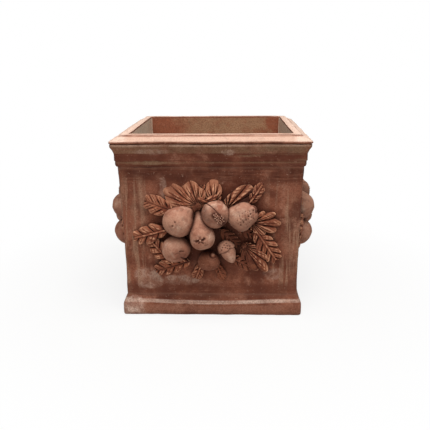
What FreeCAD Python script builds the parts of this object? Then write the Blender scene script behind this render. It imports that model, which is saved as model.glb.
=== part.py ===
# Square terracotta planter: moulded rim and foot, swayed walls, and a relief of fruit and leaves on each side.
# Millimetres, +Z up, the origin in the middle of the underside, the front face towards -Y.
import FreeCAD
import Part
import Sketcher
import math
import os

from FreeCAD import Placement, Rotation, Vector

# Half widths run from the middle of the square to a face, heights run upwards in the order of the courses.
SIZES = {
    # Walls
    "wall_head_half_width": 209.8,
    "wall_foot_draw": 5.0,
    "wall_waist_draw": 5.9,
    "wall_chest_draw": 3.5,
    "wall_height": 312.0,
    "wall_waist_height": 70.0,
    "wall_chest_height": 190.0,
    "wall_foot_thickness": 26.8,
    "corner_round": 6.0,
    # Foot
    "foot_band_height": 27.0,
    "foot_ease_height": 4.0,
    "foot_shoulder_height": 19.0,
    "foot_projection": 9.5,
    "foot_ease_projection": 8.4,
    "foot_shoulder_projection": 4.9,
    "foot_shoulder_rise": 7.0,
    "foot_edge_round": 4.0,
    # Rim
    "bead_round_height": 7.0,
    "bead_band_height": 8.0,
    "bead_projection": 4.5,
    "bead_flare_projection": 3.2,
    "bead_flare_rise": 3.0,
    "fascia_height": 16.0,
    "fascia_projection": 6.2,
    "cove_height": 16.0,
    "cove_mid_rise": 8.0,
    "cove_mid_projection": 9.4,
    "cove_projection": 14.2,
    "fillet_height": 5.6,
    "quirk_height": 1.4,
    "quirk_projection": 12.4,
    "lip_height": 8.5,
    "lip_under_projection": 14.4,
    "lip_projection": 15.5,
    "lip_widest_rise": 2.8,
    "lip_turn_rise": 6.0,
    "lip_turn_projection": 14.2,
    "arris_projection": 7.2,
    "weathering_height": 7.0,
    "curb_setback": 7.8,
    "curb_height": 2.5,
    "curb_width": 17.0,
    "curb_edge_round": 1.0,
    "opening_corner_round": 9.0,
    # Floor
    "floor_thickness": 28.0,
    "drain_radius": 15.0,
    # Relief: its middle, and the reach that the places of the leaves follow
    "relief_rise": 175.0,
    "relief_reach": 200.0,
    # Pear: its ends lie above and below the girth, across and up from the middle of the relief
    "pear_blossom_length": 28.0,
    "pear_stem_length": 66.0,
    "pear_radius": 29.0,
    "pear_neck_radius": 10.0,
    "pear_flank_radius": 80.0,
    "pear_across": -19.5,
    "pear_up": -22.0,
    "pear_proud": 26.0,
    # Quince
    "quince_blossom_length": 34.0,
    "quince_stem_length": 42.0,
    "quince_radius": 36.5,
    "quince_neck_radius": 16.0,
    "quince_flank_radius": 90.0,
    "quince_across": -75.0,
    "quince_up": 12.0,
    "quince_proud": 13.0,
    # Pomegranate
    "pomegranate_blossom_length": 31.0,
    "pomegranate_stem_length": 33.5,
    "pomegranate_radius": 32.0,
    "pomegranate_across": 10.5,
    "pomegranate_up": 31.0,
    "pomegranate_proud": 18.0,
    "burst_length": 17.0,
    "burst_width": 11.0,
    "burst_depth": 3.5,
    # Citron
    "citron_blossom_length": 35.0,
    "citron_stem_length": 33.0,
    "citron_radius": 32.0,
    "citron_across": 71.5,
    "citron_up": 23.5,
    "citron_proud": 14.0,
    "citron_nub_radius": 9.0,
    "citron_nub_sink": 5.0,
    # Apple
    "apple_blossom_length": 28.0,
    "apple_stem_length": 31.0,
    "apple_radius": 34.0,
    "apple_across": -80.5,
    "apple_up": -54.0,
    "apple_proud": 13.0,
    # Acorn: the nut below its cup
    "acorn_blossom_length": 32.0,
    "acorn_stem_length": 25.0,
    "acorn_radius": 17.8,
    "acorn_cup_radius": 20.0,
    "acorn_across": 37.0,
    "acorn_up": -57.0,
    "acorn_proud": 13.0,
    # Fig
    "fig_blossom_length": 22.0,
    "fig_stem_length": 24.0,
    "fig_radius": 26.5,
    "fig_across": -5.5,
    "fig_up": -86.0,
    "fig_proud": 9.0,
    "fig_bud_radius": 8.0,
    "fig_bud_across": 14.0,
    "fig_bud_up": 15.0,
    "fig_bud_proud": 13.0,
    # Calyx hollows of pear, quince and apple
    "calyx_radius": 8.0,
    "calyx_depth": 3.0,
    # Leaves
    "leaf_length": 75.0,
    "leaf_width": 40.0,
    "leaf_base_relief": 15.0,
    "leaf_tip_relief": 5.0,
    "leaf_crown_radius": 60.0,
    "vein_radius": 1.8,
    "vein_depth": 1.4,
    "vein_gap": 2.6,
    # One overrun for every cut, and the depth that applied pieces run into the wall before they are trimmed
    "overrun": 5.0,
    "luting_depth": 18.0,
}

# Levels and half widths that follow from the sizes above.
DERIVED = {
    "wall_foot_half_width": "wall_head_half_width - wall_foot_draw",
    "wall_waist_half_width": "wall_head_half_width - wall_waist_draw",
    "wall_chest_half_width": "wall_head_half_width - wall_chest_draw",
    "floor_half_width": "wall_foot_half_width - wall_foot_thickness",
    "curb_half_width": "wall_head_half_width - curb_setback",
    "opening_half_width": "curb_half_width - curb_width",
    "foot_half_width": "wall_foot_half_width + foot_projection",
    "foot_ease_half_width": "wall_foot_half_width + foot_ease_projection",
    "foot_shoulder_half_width": "wall_foot_half_width + foot_shoulder_projection",
    "bead_flare_half_width": "wall_head_half_width + bead_flare_projection",
    "bead_half_width": "wall_head_half_width + bead_projection",
    "fascia_half_width": "wall_head_half_width + fascia_projection",
    "cove_mid_half_width": "wall_head_half_width + cove_mid_projection",
    "cove_half_width": "wall_head_half_width + cove_projection",
    "quirk_half_width": "wall_head_half_width + quirk_projection",
    "lip_under_half_width": "wall_head_half_width + lip_under_projection",
    "lip_half_width": "wall_head_half_width + lip_projection",
    "lip_turn_half_width": "wall_head_half_width + lip_turn_projection",
    "arris_half_width": "wall_head_half_width + arris_projection",
    "foot_ease_level": "foot_band_height + foot_ease_height",
    "foot_shoulder_level": "foot_ease_level + foot_shoulder_rise",
    "wall_seat": "foot_ease_level + foot_shoulder_height",
    "wall_waist_level": "wall_seat + wall_waist_height",
    "wall_chest_level": "wall_seat + wall_chest_height",
    "rim_seat": "wall_seat + wall_height",
    "bead_flare_level": "rim_seat + bead_flare_rise",
    "bead_level": "rim_seat + bead_round_height",
    "fascia_level": "bead_level + bead_band_height",
    "cove_level": "fascia_level + fascia_height",
    "cove_mid_level": "cove_level + cove_mid_rise",
    "fillet_level": "cove_level + cove_height",
    "quirk_level": "fillet_level + fillet_height",
    "lip_level": "quirk_level + quirk_height",
    "lip_widest_level": "lip_level + lip_widest_rise",
    "lip_turn_level": "lip_level + lip_turn_rise",
    "arris_level": "lip_level + lip_height",
    "curb_level": "arris_level + weathering_height",
    "pot_height": "curb_level + curb_height",
    "relief_level": "wall_seat + relief_rise",
}

SIDES = (("front", 0), ("right", 90), ("back", 180), ("left", 270))

# The side whose relief came out of a mould that is the mirror image of the others.
MIRRORED_SIDE = "left"

# Each fruit's blossom end swings to the left by its lean and out of the wall by its nod, in degrees.
LEANS = {"pear": -10, "quince": 38, "pomegranate": -40, "citron": -130, "apple": -49, "acorn": -28, "fig": 0}
NODS = {"pear": 22, "quince": 22, "pomegranate": 50, "citron": 12, "apple": 50, "acorn": 12, "fig": 20}

# Where a fruit is pressed: across and up for one share outwards. The burst of the pomegranate is turned.
PRESS_SHARES = {
    "pear": (-0.04, -0.30),
    "quince": (-0.25, -0.15),
    "apple": (0.45, -0.40),
    "pomegranate": (0.35, -0.22),
}
BURST_TURN = 35

# Edges this near a level are taken to lie in it.
LEVEL_TOLERANCE = 1e-4

# The arc that leaves the girth of a fruit has this share of the height of a flat end, or a long end has this
# share of the arc. Beside a neck it has a share of the girth's radius.
ROUND_SHARE = 0.85
NUT_SHARE = 0.72
NECKED_SHARE = 0.92

# Right half outline of a leaf, base to tip, as lobes between notches: shares of the length and the width.
LEAF_NOTCH_SHARES = ((0.0, 0.07), (0.27, 0.31), (0.53, 0.33), (0.79, 0.21), (1.0, 0.0))
LEAF_LOBE_SHARES = ((0.09, 0.34), (0.40, 0.50), (0.68, 0.42), (0.93, 0.13))
# Side veins leave the midrib at these shares of the length and run this share of the width.
VEIN_START_SHARES = (0.12, 0.34, 0.58)
VEIN_RUN_SHARE = 0.34
MIDRIB_SHARES = (0.04, 0.90)
VEIN_TURN = 42
VEIN_FALL = 9

# Each spray holds leaves: base across and up from the middle of the relief in shares of the relief's reach,
# heading in degrees from +X, length and width in shares of a full leaf.
SPRAY_SHARES = {
    "leaves_top": (
        (-0.22, 0.26, 147, 1.12, 1.20),
        (-0.135, 0.27, 118, 0.75, 1.15),
        (-0.04, 0.28, 108, 0.59, 0.55),
        (0.02, 0.275, 83, 0.80, 1.15),
        (0.20, 0.25, 38, 0.99, 1.05),
        (0.42, 0.25, 55, 0.85, 0.65),
    ),
    "leaves_left": (
        (-0.41, 0.19, 159, 1.12, 1.15),
        (-0.50, -0.03, 197, 1.15, 1.20),
        (-0.45, -0.44, 135, 1.12, 1.10),
    ),
    "leaves_right": (
        (0.47, 0.06, -2, 1.01, 1.45),
        (0.50, -0.02, -57, 1.33, 1.30),
        (0.38, -0.23, -51, 1.17, 1.20),
        (0.28, 0.01, -30, 0.77, 0.70),
        (0.10, -0.04, -42, 0.80, 0.75),
    ),
    "leaves_bottom": (
        (-0.25, -0.42, 199, 1.17, 1.05),
        (-0.11, -0.45, 250, 0.64, 0.70),
        (0.06, -0.47, 294, 0.64, 0.70),
        (0.23, -0.38, 333, 0.80, 0.80),
    ),
}


def make_sheet(doc):
    """Write the sizes, then the derived sizes, into the sheet and name their cells."""
    sheet = doc.addObject("Spreadsheet::Sheet", "Sizes")
    cells = {name: str(value) for name, value in SIZES.items()}
    cells.update({name: "=" + formula for name, formula in DERIVED.items()})
    for row, (name, text) in enumerate(cells.items(), start=1):
        sheet.set(f"A{row}", name)
        sheet.set(f"B{row}", text)
        sheet.setAlias(f"B{row}", name)
    doc.recompute()
    return sheet


class Model:
    """The document, its sizes and the pieces that become files."""

    def __init__(self):
        self.doc = FreeCAD.newDocument("planter")
        self.sheet = make_sheet(self.doc)
        self.pieces = []

    def size(self, name):
        """Give the value of a named size."""
        return float(self.sheet.get(name))

    def add(self, kind, name):
        """Add an object of the given kind under its own label."""
        thing = self.doc.addObject(kind, name)
        thing.Label = name
        return thing

    def sketch(self, body, name, role):
        """Start a sketch on one of the body's own origin planes."""
        sketch = body.newObject("Sketcher::SketchObject", name)
        plane = [item for item in body.Origin.OriginFeatures if item.Role == role][0]
        sketch.AttachmentSupport = (plane, [""])
        sketch.MapMode = "FlatFace"
        return sketch

    def boolean(self, kind, name, base, tool):
        """Cut, or keep the common part of, two objects."""
        result = self.add(kind, name)
        result.Base = base
        result.Tool = tool
        result.Refine = False
        return result

    def cut(self, name, base, tool):
        """Cut the tool from the base."""
        return self.boolean("Part::Cut", name, base, tool)

    def keep(self, thing, name):
        """Mark an object as a piece of the planter."""
        thing.Label = name
        self.pieces.append(thing)
        return thing


def bind(thing, **bindings):
    """Bind properties to named sizes: a double underscore in the key stands for a dot."""
    for key, formula in bindings.items():
        thing.setExpression(key.replace("__", "."), formula)


def rounded_square(model, body, name, half_width, corner, level):
    """Sketch a square with round corners at a level, its half width and corner radius bound to sizes."""
    sketch = model.sketch(body, name, "XY_Plane")
    if level:
        bind(sketch, AttachmentOffset__Base__z="Sizes." + level)
    wide = model.size(half_width)
    bend = model.size(corner)
    flat = wide - bend
    for quarter in range(4):
        turn = Rotation(Vector(0, 0, 1), 90 * quarter)
        start = turn.multVec(Vector(-flat, -wide, 0))
        end = turn.multVec(Vector(flat, -wide, 0))
        middle = turn.multVec(Vector(flat, -flat, 0))
        first = math.radians(90 * quarter - 90)
        circle = Part.Circle(middle, Vector(0, 0, 1), bend)
        sketch.addGeometry(Part.LineSegment(start, end))
        sketch.addGeometry(Part.ArcOfCircle(circle, first, first + math.radians(90)))
    for quarter in range(4):
        line = 2 * quarter
        arc = line + 1
        following = (line + 2) % 8
        sketch.addConstraint(Sketcher.Constraint("Tangent", line, 2, arc, 1))
        sketch.addConstraint(Sketcher.Constraint("Tangent", arc, 2, following, 1))
    sketch.addConstraint(Sketcher.Constraint("Horizontal", 0))
    sketch.addConstraint(Sketcher.Constraint("Vertical", 2))
    sketch.addConstraint(Sketcher.Constraint("Horizontal", 4))
    sketch.addConstraint(Sketcher.Constraint("Vertical", 6))
    for arc in (3, 5, 7):
        sketch.addConstraint(Sketcher.Constraint("Equal", 1, arc))
    bound = {
        "bend": (Sketcher.Constraint("Radius", 1, bend), corner),
        "front": (Sketcher.Constraint("DistanceY", 0, 1, -1, 1, wide), half_width),
        "back": (Sketcher.Constraint("DistanceY", -1, 1, 4, 1, wide), half_width),
        "right": (Sketcher.Constraint("DistanceX", -1, 1, 2, 1, wide), half_width),
        "left": (Sketcher.Constraint("DistanceX", 6, 1, -1, 1, wide), half_width),
    }
    for label, (constraint, source) in bound.items():
        index = sketch.addConstraint(constraint)
        sketch.renameConstraint(index, label)
        sketch.setExpression("Constraints." + label, "Sizes." + source)
    return sketch


def loft(model, body, name, levels, ruled):
    """Loft upwards through rounded squares, given as pairs of half width and level."""
    sections = []
    for number, (half_width, level) in enumerate(levels):
        label = f"{name}_section_{number}"
        sections.append(rounded_square(model, body, label, half_width, "corner_round", level))
    feature = body.newObject("PartDesign::AdditiveLoft", name)
    feature.Profile = sections[0]
    feature.Sections = sections[1:]
    feature.Ruled = ruled
    return feature


def pad(model, body, name, half_width, level, height):
    """Pad a rounded square upwards from a level."""
    section = rounded_square(model, body, name + "_section", half_width, "corner_round", level)
    feature = body.newObject("PartDesign::Pad", name)
    feature.Profile = section
    bind(feature, Length="Sizes." + height)
    return feature


def edges_at(shape, level, outside):
    """Name the edges that lie flat at a level, beyond a distance from the middle."""
    names = []
    for number, edge in enumerate(shape.Edges, start=1):
        box = edge.BoundBox
        flat = abs(box.ZMin - level) < LEVEL_TOLERANCE and abs(box.ZMax - level) < LEVEL_TOLERANCE
        reach = max(abs(box.XMin), abs(box.XMax), abs(box.YMin), abs(box.YMax))
        if flat and reach > outside:
            names.append(f"Edge{number}")
    return names


def fillet(model, body, name, base, level, outside, radius):
    """Round the outer edges of the body at a level."""
    model.doc.recompute()
    feature = body.newObject("PartDesign::Fillet", name)
    feature.Base = (base, edges_at(base.Shape, model.size(level) if level else 0, model.size(outside)))
    bind(feature, Radius="Sizes." + radius)
    return feature


def wall_block(model):
    """Make the solid block inside the outer faces of the walls, drawn in at the waist."""
    body = model.add("PartDesign::Body", "wall_block")
    levels = (
        ("wall_foot_half_width", "wall_seat"),
        ("wall_waist_half_width", "wall_waist_level"),
        ("wall_chest_half_width", "wall_chest_level"),
        ("wall_head_half_width", "rim_seat"),
    )
    loft(model, body, "wall_faces", levels, False)
    return body


def foot_block(model):
    """Make the plinth: a band with a round lower edge and a weathered shoulder."""
    body = model.add("PartDesign::Body", "foot_block")
    band = pad(model, body, "foot_band", "foot_half_width", None, "foot_band_height")
    fillet(model, body, "foot_edge", band, None, "floor_half_width", "foot_edge_round")
    levels = (
        ("foot_half_width", "foot_band_height"),
        ("foot_ease_half_width", "foot_ease_level"),
        ("foot_shoulder_half_width", "foot_shoulder_level"),
        ("wall_foot_half_width", "wall_seat"),
    )
    loft(model, body, "foot_shoulder", levels, False)
    return body


def rim_block(model):
    """Make the cornice from its round bead up to the curb about the opening."""
    body = model.add("PartDesign::Body", "rim_block")
    bead = (
        ("wall_head_half_width", "rim_seat"),
        ("bead_flare_half_width", "bead_flare_level"),
        ("bead_half_width", "bead_level"),
    )
    cove = (
        ("fascia_half_width", "cove_level"),
        ("cove_mid_half_width", "cove_mid_level"),
        ("cove_half_width", "fillet_level"),
    )
    lip = (
        ("lip_under_half_width", "lip_level"),
        ("lip_half_width", "lip_widest_level"),
        ("lip_turn_half_width", "lip_turn_level"),
        ("arris_half_width", "arris_level"),
    )
    weathering = (("arris_half_width", "arris_level"), ("curb_half_width", "curb_level"))
    loft(model, body, "bead_round", bead, False)
    pad(model, body, "bead_band", "bead_half_width", "bead_level", "bead_band_height")
    pad(model, body, "fascia", "fascia_half_width", "fascia_level", "fascia_height")
    loft(model, body, "cove", cove, False)
    pad(model, body, "fillet_band", "cove_half_width", "fillet_level", "fillet_height")
    pad(model, body, "quirk", "quirk_half_width", "quirk_level", "quirk_height")
    loft(model, body, "lip", lip, False)
    loft(model, body, "weathering", weathering, True)
    curb = pad(model, body, "curb", "curb_half_width", "curb_level", "curb_height")
    fillet(model, body, "curb_edge", curb, "pot_height", "opening_half_width", "curb_edge_round")
    return body


def planting_core(model):
    """Make the space for earth: a shallow taper from the floor to the opening, run on past the curb."""
    body = model.add("PartDesign::Body", "planting_core")
    low = rounded_square(
        model, body, "core_low", "floor_half_width", "opening_corner_round", "floor_thickness"
    )
    high = rounded_square(
        model, body, "core_high", "opening_half_width", "opening_corner_round", "pot_height"
    )
    taper = body.newObject("PartDesign::AdditiveLoft", "core_taper")
    taper.Profile = low
    taper.Sections = [high]
    taper.Ruled = True
    mouth = rounded_square(
        model, body, "core_mouth", "opening_half_width", "opening_corner_round", "pot_height"
    )
    over = body.newObject("PartDesign::Pad", "core_over")
    over.Profile = mouth
    bind(over, Length="Sizes.overrun")
    return body


def floor_blank(model):
    """Make the floor slab before its drain hole."""
    body = model.add("PartDesign::Body", "floor_blank")
    section = rounded_square(
        model, body, "floor_section", "floor_half_width", "opening_corner_round", None
    )
    slab = body.newObject("PartDesign::Pad", "floor_pad")
    slab.Profile = section
    bind(slab, Length="Sizes.floor_thickness")
    return body


def drain_core(model):
    """Make the cylinder that pierces the floor."""
    core = model.add("Part::Cylinder", "drain_core")
    bind(
        core,
        Radius="Sizes.drain_radius",
        Height="Sizes.floor_thickness + 2 * Sizes.overrun",
        Placement__Base__z="-Sizes.overrun",
    )
    return core


def mitre_wedge(model):
    """Make the wedge between the two front diagonals, which a front piece is trimmed to."""
    body = model.add("PartDesign::Body", "mitre_wedge")
    sketch = model.sketch(body, "mitre_section", "XY_Plane")
    reach = model.size("lip_half_width") + model.size("overrun")
    corners = (Vector(0, 0, 0), Vector(-reach, -reach, 0), Vector(reach, -reach, 0))
    for start, end in zip(corners, corners[1:] + corners[:1]):
        sketch.addGeometry(Part.LineSegment(start, end))
    bind(sketch, AttachmentOffset__Base__z="-Sizes.overrun")
    wedge = body.newObject("PartDesign::Pad", "mitre_pad")
    wedge.Profile = sketch
    bind(wedge, Length="Sizes.pot_height + 2 * Sizes.overrun")
    return body


def make_pot(model):
    """Make the floor, foot, walls and rim, and give back the wall block that trims the relief."""
    core = planting_core(model)
    blank = floor_blank(model)
    wedge = mitre_wedge(model)
    block = wall_block(model)
    foot_shell = model.cut("foot_shell", foot_block(model), core)
    courses = {
        "wall": model.cut("wall_ring", block, core),
        "rim": model.cut("rim_ring", rim_block(model), core),
        "foot": model.cut("foot_ring", foot_shell, blank),
    }
    model.keep(model.cut("floor_slab", blank, drain_core(model)), "floor_slab")
    for course, ring in courses.items():
        quarter = model.boolean("Part::Common", course + "_quarter", ring, wedge)
        add_sides(model, course, quarter)
    return block


def trim(model, name, piece, tools):
    """Cut a piece by each of the tools that its box reaches."""
    model.doc.recompute()
    box = piece.Shape.BoundBox
    for number, tool in enumerate(tools):
        if box.intersect(tool.Shape.BoundBox):
            piece = model.cut(f"{name}_trim_{number}", piece, tool)
    return piece


def mirrored(model, name, front):
    """Give the mirror image of a front piece, left for right."""
    image = model.add("Part::Mirroring", name + "_mirrored")
    image.Source = front
    image.Normal = Vector(1, 0, 0)
    return image


def add_sides(model, name, front):
    """Keep a front piece, and the same piece or its mirror image turned to each other side."""
    for side, angle in SIDES:
        if angle == 0:
            model.keep(front, f"{name}_{side}")
            continue
        turned = model.add("Part::Compound", f"{name}_{side}")
        turned.Links = [mirrored(model, name, front) if side == MIRRORED_SIDE else front]
        turned.Placement = Placement(Vector(0, 0, 0), Rotation(Vector(0, 0, 1), angle))
        model.keep(turned, f"{name}_{side}")


def arc_about(centre, start, end):
    """Give the short arc about a centre from start to end, as its first, middle and last points."""
    radius = centre.distanceToPoint(start)
    bisector = (start - centre).normalize() + (end - centre).normalize()
    return (start, centre + bisector.normalize() * radius, end)


def oval_end(radius, height, share):
    """Outline a round end: an arc that leaves the girth upright, then one that closes square on the axis."""
    if height == radius:
        return [arc_about(Vector(0, 0, 0), Vector(radius, 0, 0), Vector(0, height, 0))]
    shoulder = height * share if height < radius else height / share
    cap = ((radius - shoulder) ** 2 + height**2 - shoulder**2) / (2 * (height - shoulder))
    side_centre = Vector(radius - shoulder, 0, 0)
    cap_centre = Vector(0, height - cap, 0)
    outward = (side_centre - cap_centre).normalize() * math.copysign(1, cap - shoulder)
    joint = side_centre + outward * shoulder
    return [
        arc_about(side_centre, Vector(radius, 0, 0), joint),
        arc_about(cap_centre, joint, Vector(0, height, 0)),
    ]


def necked_end(radius, height, flank, neck):
    """Outline a necked end: a round shoulder, a hollow flank and the ball of the neck, all tangent."""
    shoulder = NECKED_SHARE * radius
    side_centre = Vector(radius - shoulder, 0, 0)
    neck_centre = Vector(0, height - neck, 0)
    gap = side_centre.distanceToPoint(neck_centre)
    axis = (neck_centre - side_centre).normalize()
    outward = Vector(axis.y, -axis.x, 0)
    along = (gap**2 + (shoulder + flank) ** 2 - (neck + flank) ** 2) / (2 * gap)
    across = math.sqrt((shoulder + flank) ** 2 - along**2)
    flank_centre = side_centre + axis * along + outward * across
    low = side_centre + (flank_centre - side_centre).normalize() * shoulder
    high = neck_centre + (flank_centre - neck_centre).normalize() * neck
    return [
        arc_about(side_centre, Vector(radius, 0, 0), low),
        arc_about(flank_centre, low, high),
        arc_about(neck_centre, high, Vector(0, height, 0)),
    ]


def revolved(model, name, blossom, stem):
    """Turn the outlines of a fruit's two ends, each drawn upwards from the girth, into a body about Z."""
    body = model.add("PartDesign::Body", name + "_body")
    sketch = model.sketch(body, name + "_outline", "XZ_Plane")
    turned_down = [tuple(Vector(point.x, -point.y, 0) for point in arc) for arc in blossom]
    for arc in turned_down + stem:
        sketch.addGeometry(Part.Arc(*arc))
    low = turned_down[0][0]
    high = stem[0][0]
    if low.distanceToPoint(high) > 0:
        sketch.addGeometry(Part.LineSegment(low, high))
    sketch.addGeometry(Part.LineSegment(turned_down[-1][-1], stem[-1][-1]))
    turn = body.newObject("PartDesign::Revolution", name + "_turn")
    turn.Profile = sketch
    turn.ReferenceAxis = (sketch, ["V_Axis"])
    turn.Angle = 360
    return body


def stand_on_wall(thing, name):
    """Place a fruit: nod swings its blossom end out of the wall, lean swings it to the left."""
    turn = Rotation(Vector(0, 1, 0), LEANS[name]) * Rotation(Vector(1, 0, 0), -NODS[name])
    thing.Placement = Placement(Vector(0, 0, 0), turn)
    bind(
        thing,
        Placement__Base__x=f"Sizes.{name}_across",
        Placement__Base__y=f"-Sizes.wall_chest_half_width - Sizes.{name}_proud",
        Placement__Base__z=f"Sizes.relief_level + Sizes.{name}_up",
    )
    return thing


def fruit_sizes(model, name):
    """Give a fruit's girth radius and the lengths of its blossom and stem ends."""
    return [model.size(f"{name}_{part}") for part in ("radius", "blossom_length", "stem_length")]


def round_fruit(model, name):
    """Make and place a fruit that is round at both ends."""
    radius, blossom, stem = fruit_sizes(model, name)
    ends = [oval_end(radius, height, ROUND_SHARE) for height in (blossom, stem)]
    return stand_on_wall(revolved(model, name, *ends), name)


def necked_fruit(model, name):
    """Make and place a fruit that draws in to a neck at its stem."""
    radius, blossom, stem = fruit_sizes(model, name)
    neck = necked_end(radius, stem, model.size(name + "_flank_radius"), model.size(name + "_neck_radius"))
    body = revolved(model, name, oval_end(radius, blossom, ROUND_SHARE), neck)
    return stand_on_wall(body, name)


def acorn(model):
    """Make an acorn: a pointed nut that stands out of its wider cup."""
    radius, blossom, stem = fruit_sizes(model, "acorn")
    nut = oval_end(radius, blossom, NUT_SHARE)
    cup = oval_end(model.size("acorn_cup_radius"), stem, ROUND_SHARE)
    return stand_on_wall(revolved(model, "acorn", nut, cup), "acorn")


def citron(model):
    """Make the citron with the nub on its blossom end."""
    body = round_fruit(model, "citron")
    nub = model.add("Part::Sphere", "citron_nub")
    bind(nub, Radius="Sizes.citron_nub_radius")
    model.doc.recompute()
    reach = model.size("citron_blossom_length") - model.size("citron_nub_sink")
    nub.Placement.Base = body.Placement.multVec(Vector(0, 0, -reach))
    return model.boolean("Part::Fuse", "citron_with_nub", body, nub)


def fig(model):
    """Make the fig with the bud that closes its upper end."""
    body = round_fruit(model, "fig")
    bud = model.add("Part::Sphere", "fig_bud")
    bind(
        bud,
        Radius="Sizes.fig_bud_radius",
        Placement__Base__x="Sizes.fig_across + Sizes.fig_bud_across",
        Placement__Base__y="-Sizes.wall_chest_half_width - Sizes.fig_proud - Sizes.fig_bud_proud",
        Placement__Base__z="Sizes.relief_level + Sizes.fig_up + Sizes.fig_bud_up",
    )
    return model.boolean("Part::Fuse", "fig_with_bud", body, bud)


def surface_point(model, body, direction):
    """Find where a ray from the middle of a fruit leaves it."""
    model.doc.recompute()
    start = body.Placement.Base
    far = start + direction * model.size("relief_reach")
    ray = Part.LineSegment(start, far).toShape()
    inside = ray.common(body.Shape)
    return max((vertex.Point for vertex in inside.Vertexes), key=lambda point: (point - start).Length)


def pressing(name):
    """Give the way that a fruit faces where it is pressed."""
    across, up = PRESS_SHARES[name]
    return Vector(across, -1, up).normalize()


def hollow(model, name, body):
    """Press a calyx hollow into a fruit."""
    direction = pressing(name)
    radius = model.size("calyx_radius")
    rise = radius - model.size("calyx_depth")
    ball = model.add("Part::Sphere", name + "_calyx")
    bind(ball, Radius="Sizes.calyx_radius")
    ball.Placement.Base = surface_point(model, body, direction) + direction * rise
    return model.cut(name + "_pressed", body, ball)


def burst(model, body):
    """Open the pomegranate where it faces out and down to the right, for its seeds."""
    direction = pressing("pomegranate")
    pit = model.add("Part::Ellipsoid", "burst_pit")
    bind(
        pit,
        Radius1="Sizes.burst_depth",
        Radius2="Sizes.burst_length",
        Radius3="Sizes.burst_width",
    )
    pit.Angle3 = 360
    turn = Rotation(Vector(0, 0, 1), direction) * Rotation(Vector(0, 0, 1), BURST_TURN)
    pit.Placement = Placement(surface_point(model, body, direction), turn)
    return model.cut("pomegranate_open", body, pit)


def make_fruit(model, block):
    """Make the seven fruit of the front, each trimmed to the wall and to those that lie over it."""
    pear = necked_fruit(model, "pear")
    quince = necked_fruit(model, "quince")
    pomegranate = round_fruit(model, "pomegranate")
    apple = round_fruit(model, "apple")
    whole = {
        "pear": (pear, hollow(model, "pear", pear)),
        "quince": (quince, hollow(model, "quince", quince)),
        "pomegranate": (pomegranate, burst(model, pomegranate)),
        "citron": (citron(model),) * 2,
        "apple": (apple, hollow(model, "apple", apple)),
        "acorn": (acorn(model),) * 2,
        "fig": (fig(model),) * 2,
    }
    over = []
    for name, (plain, pressed) in whole.items():
        add_sides(model, name, trim(model, name, pressed, [block] + over))
        over.append(plain)
    return over


def leaf_outline(length, width):
    """Give the closed lobed outline of a leaf that points along X, as arcs and the line across its base."""
    halves = []
    for side in (1, -1):
        notches = [Vector(x * length, side * y * width, 0) for x, y in LEAF_NOTCH_SHARES]
        lobes = [Vector(x * length, side * y * width, 0) for x, y in LEAF_LOBE_SHARES]
        halves.append([Part.Arc(a, b, c) for a, b, c in zip(notches, lobes, notches[1:])])
    base = Part.LineSegment(halves[0][0].StartPoint, halves[1][0].StartPoint)
    return halves[0] + halves[1] + [base]


def vein(model, name, start, length, turn, fall):
    """Make a round bar that presses one vein into a leaf, level with its crown."""
    bar = model.add("Part::Cylinder", name)
    bind(bar, Radius="Sizes.vein_radius")
    bar.Height = length
    aim = Rotation(Vector(0, 0, 1), turn) * Rotation(Vector(0, 1, 0), 90 + fall)
    rise = model.size("vein_radius") - model.size("vein_depth")
    bar.Placement = Placement(start + Vector(0, 0, rise), aim)
    return bar


def leaf(model, name, length, width):
    """Make a crowned, lobed and veined leaf along X, its crown line at height zero."""
    body = model.add("PartDesign::Body", name + "_body")
    sketch = model.sketch(body, name + "_outline", "XY_Plane")
    for curve in leaf_outline(length, width):
        sketch.addGeometry(curve)
    depth = "Sizes.luting_depth + Sizes.leaf_base_relief"
    bind(sketch, AttachmentOffset__Base__z=f"-({depth})")
    blade = body.newObject("PartDesign::Pad", name + "_pad")
    blade.Profile = sketch
    bind(blade, Length=depth)
    crown = model.add("Part::Cylinder", name + "_crown")
    bind(crown, Radius="Sizes.leaf_crown_radius")
    crown.Height = length + 2 * model.size("overrun")
    crown.Placement = Placement(
        Vector(-model.size("overrun"), 0, -model.size("leaf_crown_radius")),
        Rotation(Vector(0, 1, 0), 90),
    )
    crowned = model.boolean("Part::Common", name + "_crowned", body, crown)
    first, last = MIDRIB_SHARES
    bars = [vein(model, name + "_midrib", Vector(first * length, 0, 0), (last - first) * length, 0, 0)]
    for number, share in enumerate(VEIN_START_SHARES):
        for side in (1, -1):
            start = Vector(share * length, side * model.size("vein_gap"), 0)
            label = f"{name}_vein_{number}_{'left' if side > 0 else 'right'}"
            bars.append(vein(model, label, start, VEIN_RUN_SHARE * width, side * VEIN_TURN, VEIN_FALL))
    veins = model.add("Part::Compound", name + "_veins")
    veins.Links = bars
    return model.cut(name, crowned, veins)


def lay_on_wall(model, blade, name, across, up, heading, length):
    """Lay a leaf on the front wall with its base raised and its tip near the wall."""
    high = model.size("leaf_base_relief")
    drop = math.degrees(math.asin((high - model.size("leaf_tip_relief")) / length))
    reach = model.size("relief_reach")
    face = -model.size("wall_chest_half_width") - high
    spot = Vector(across * reach, face, model.size("relief_level") + up * reach)
    upright = Rotation(Vector(1, 0, 0), 90)
    turn = Rotation(Vector(0, -1, 0), heading) * upright * Rotation(Vector(0, 1, 0), drop)
    laid = model.add("Part::Compound", name)
    laid.Links = [blade]
    laid.Placement = Placement(spot, turn)
    return laid


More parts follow.
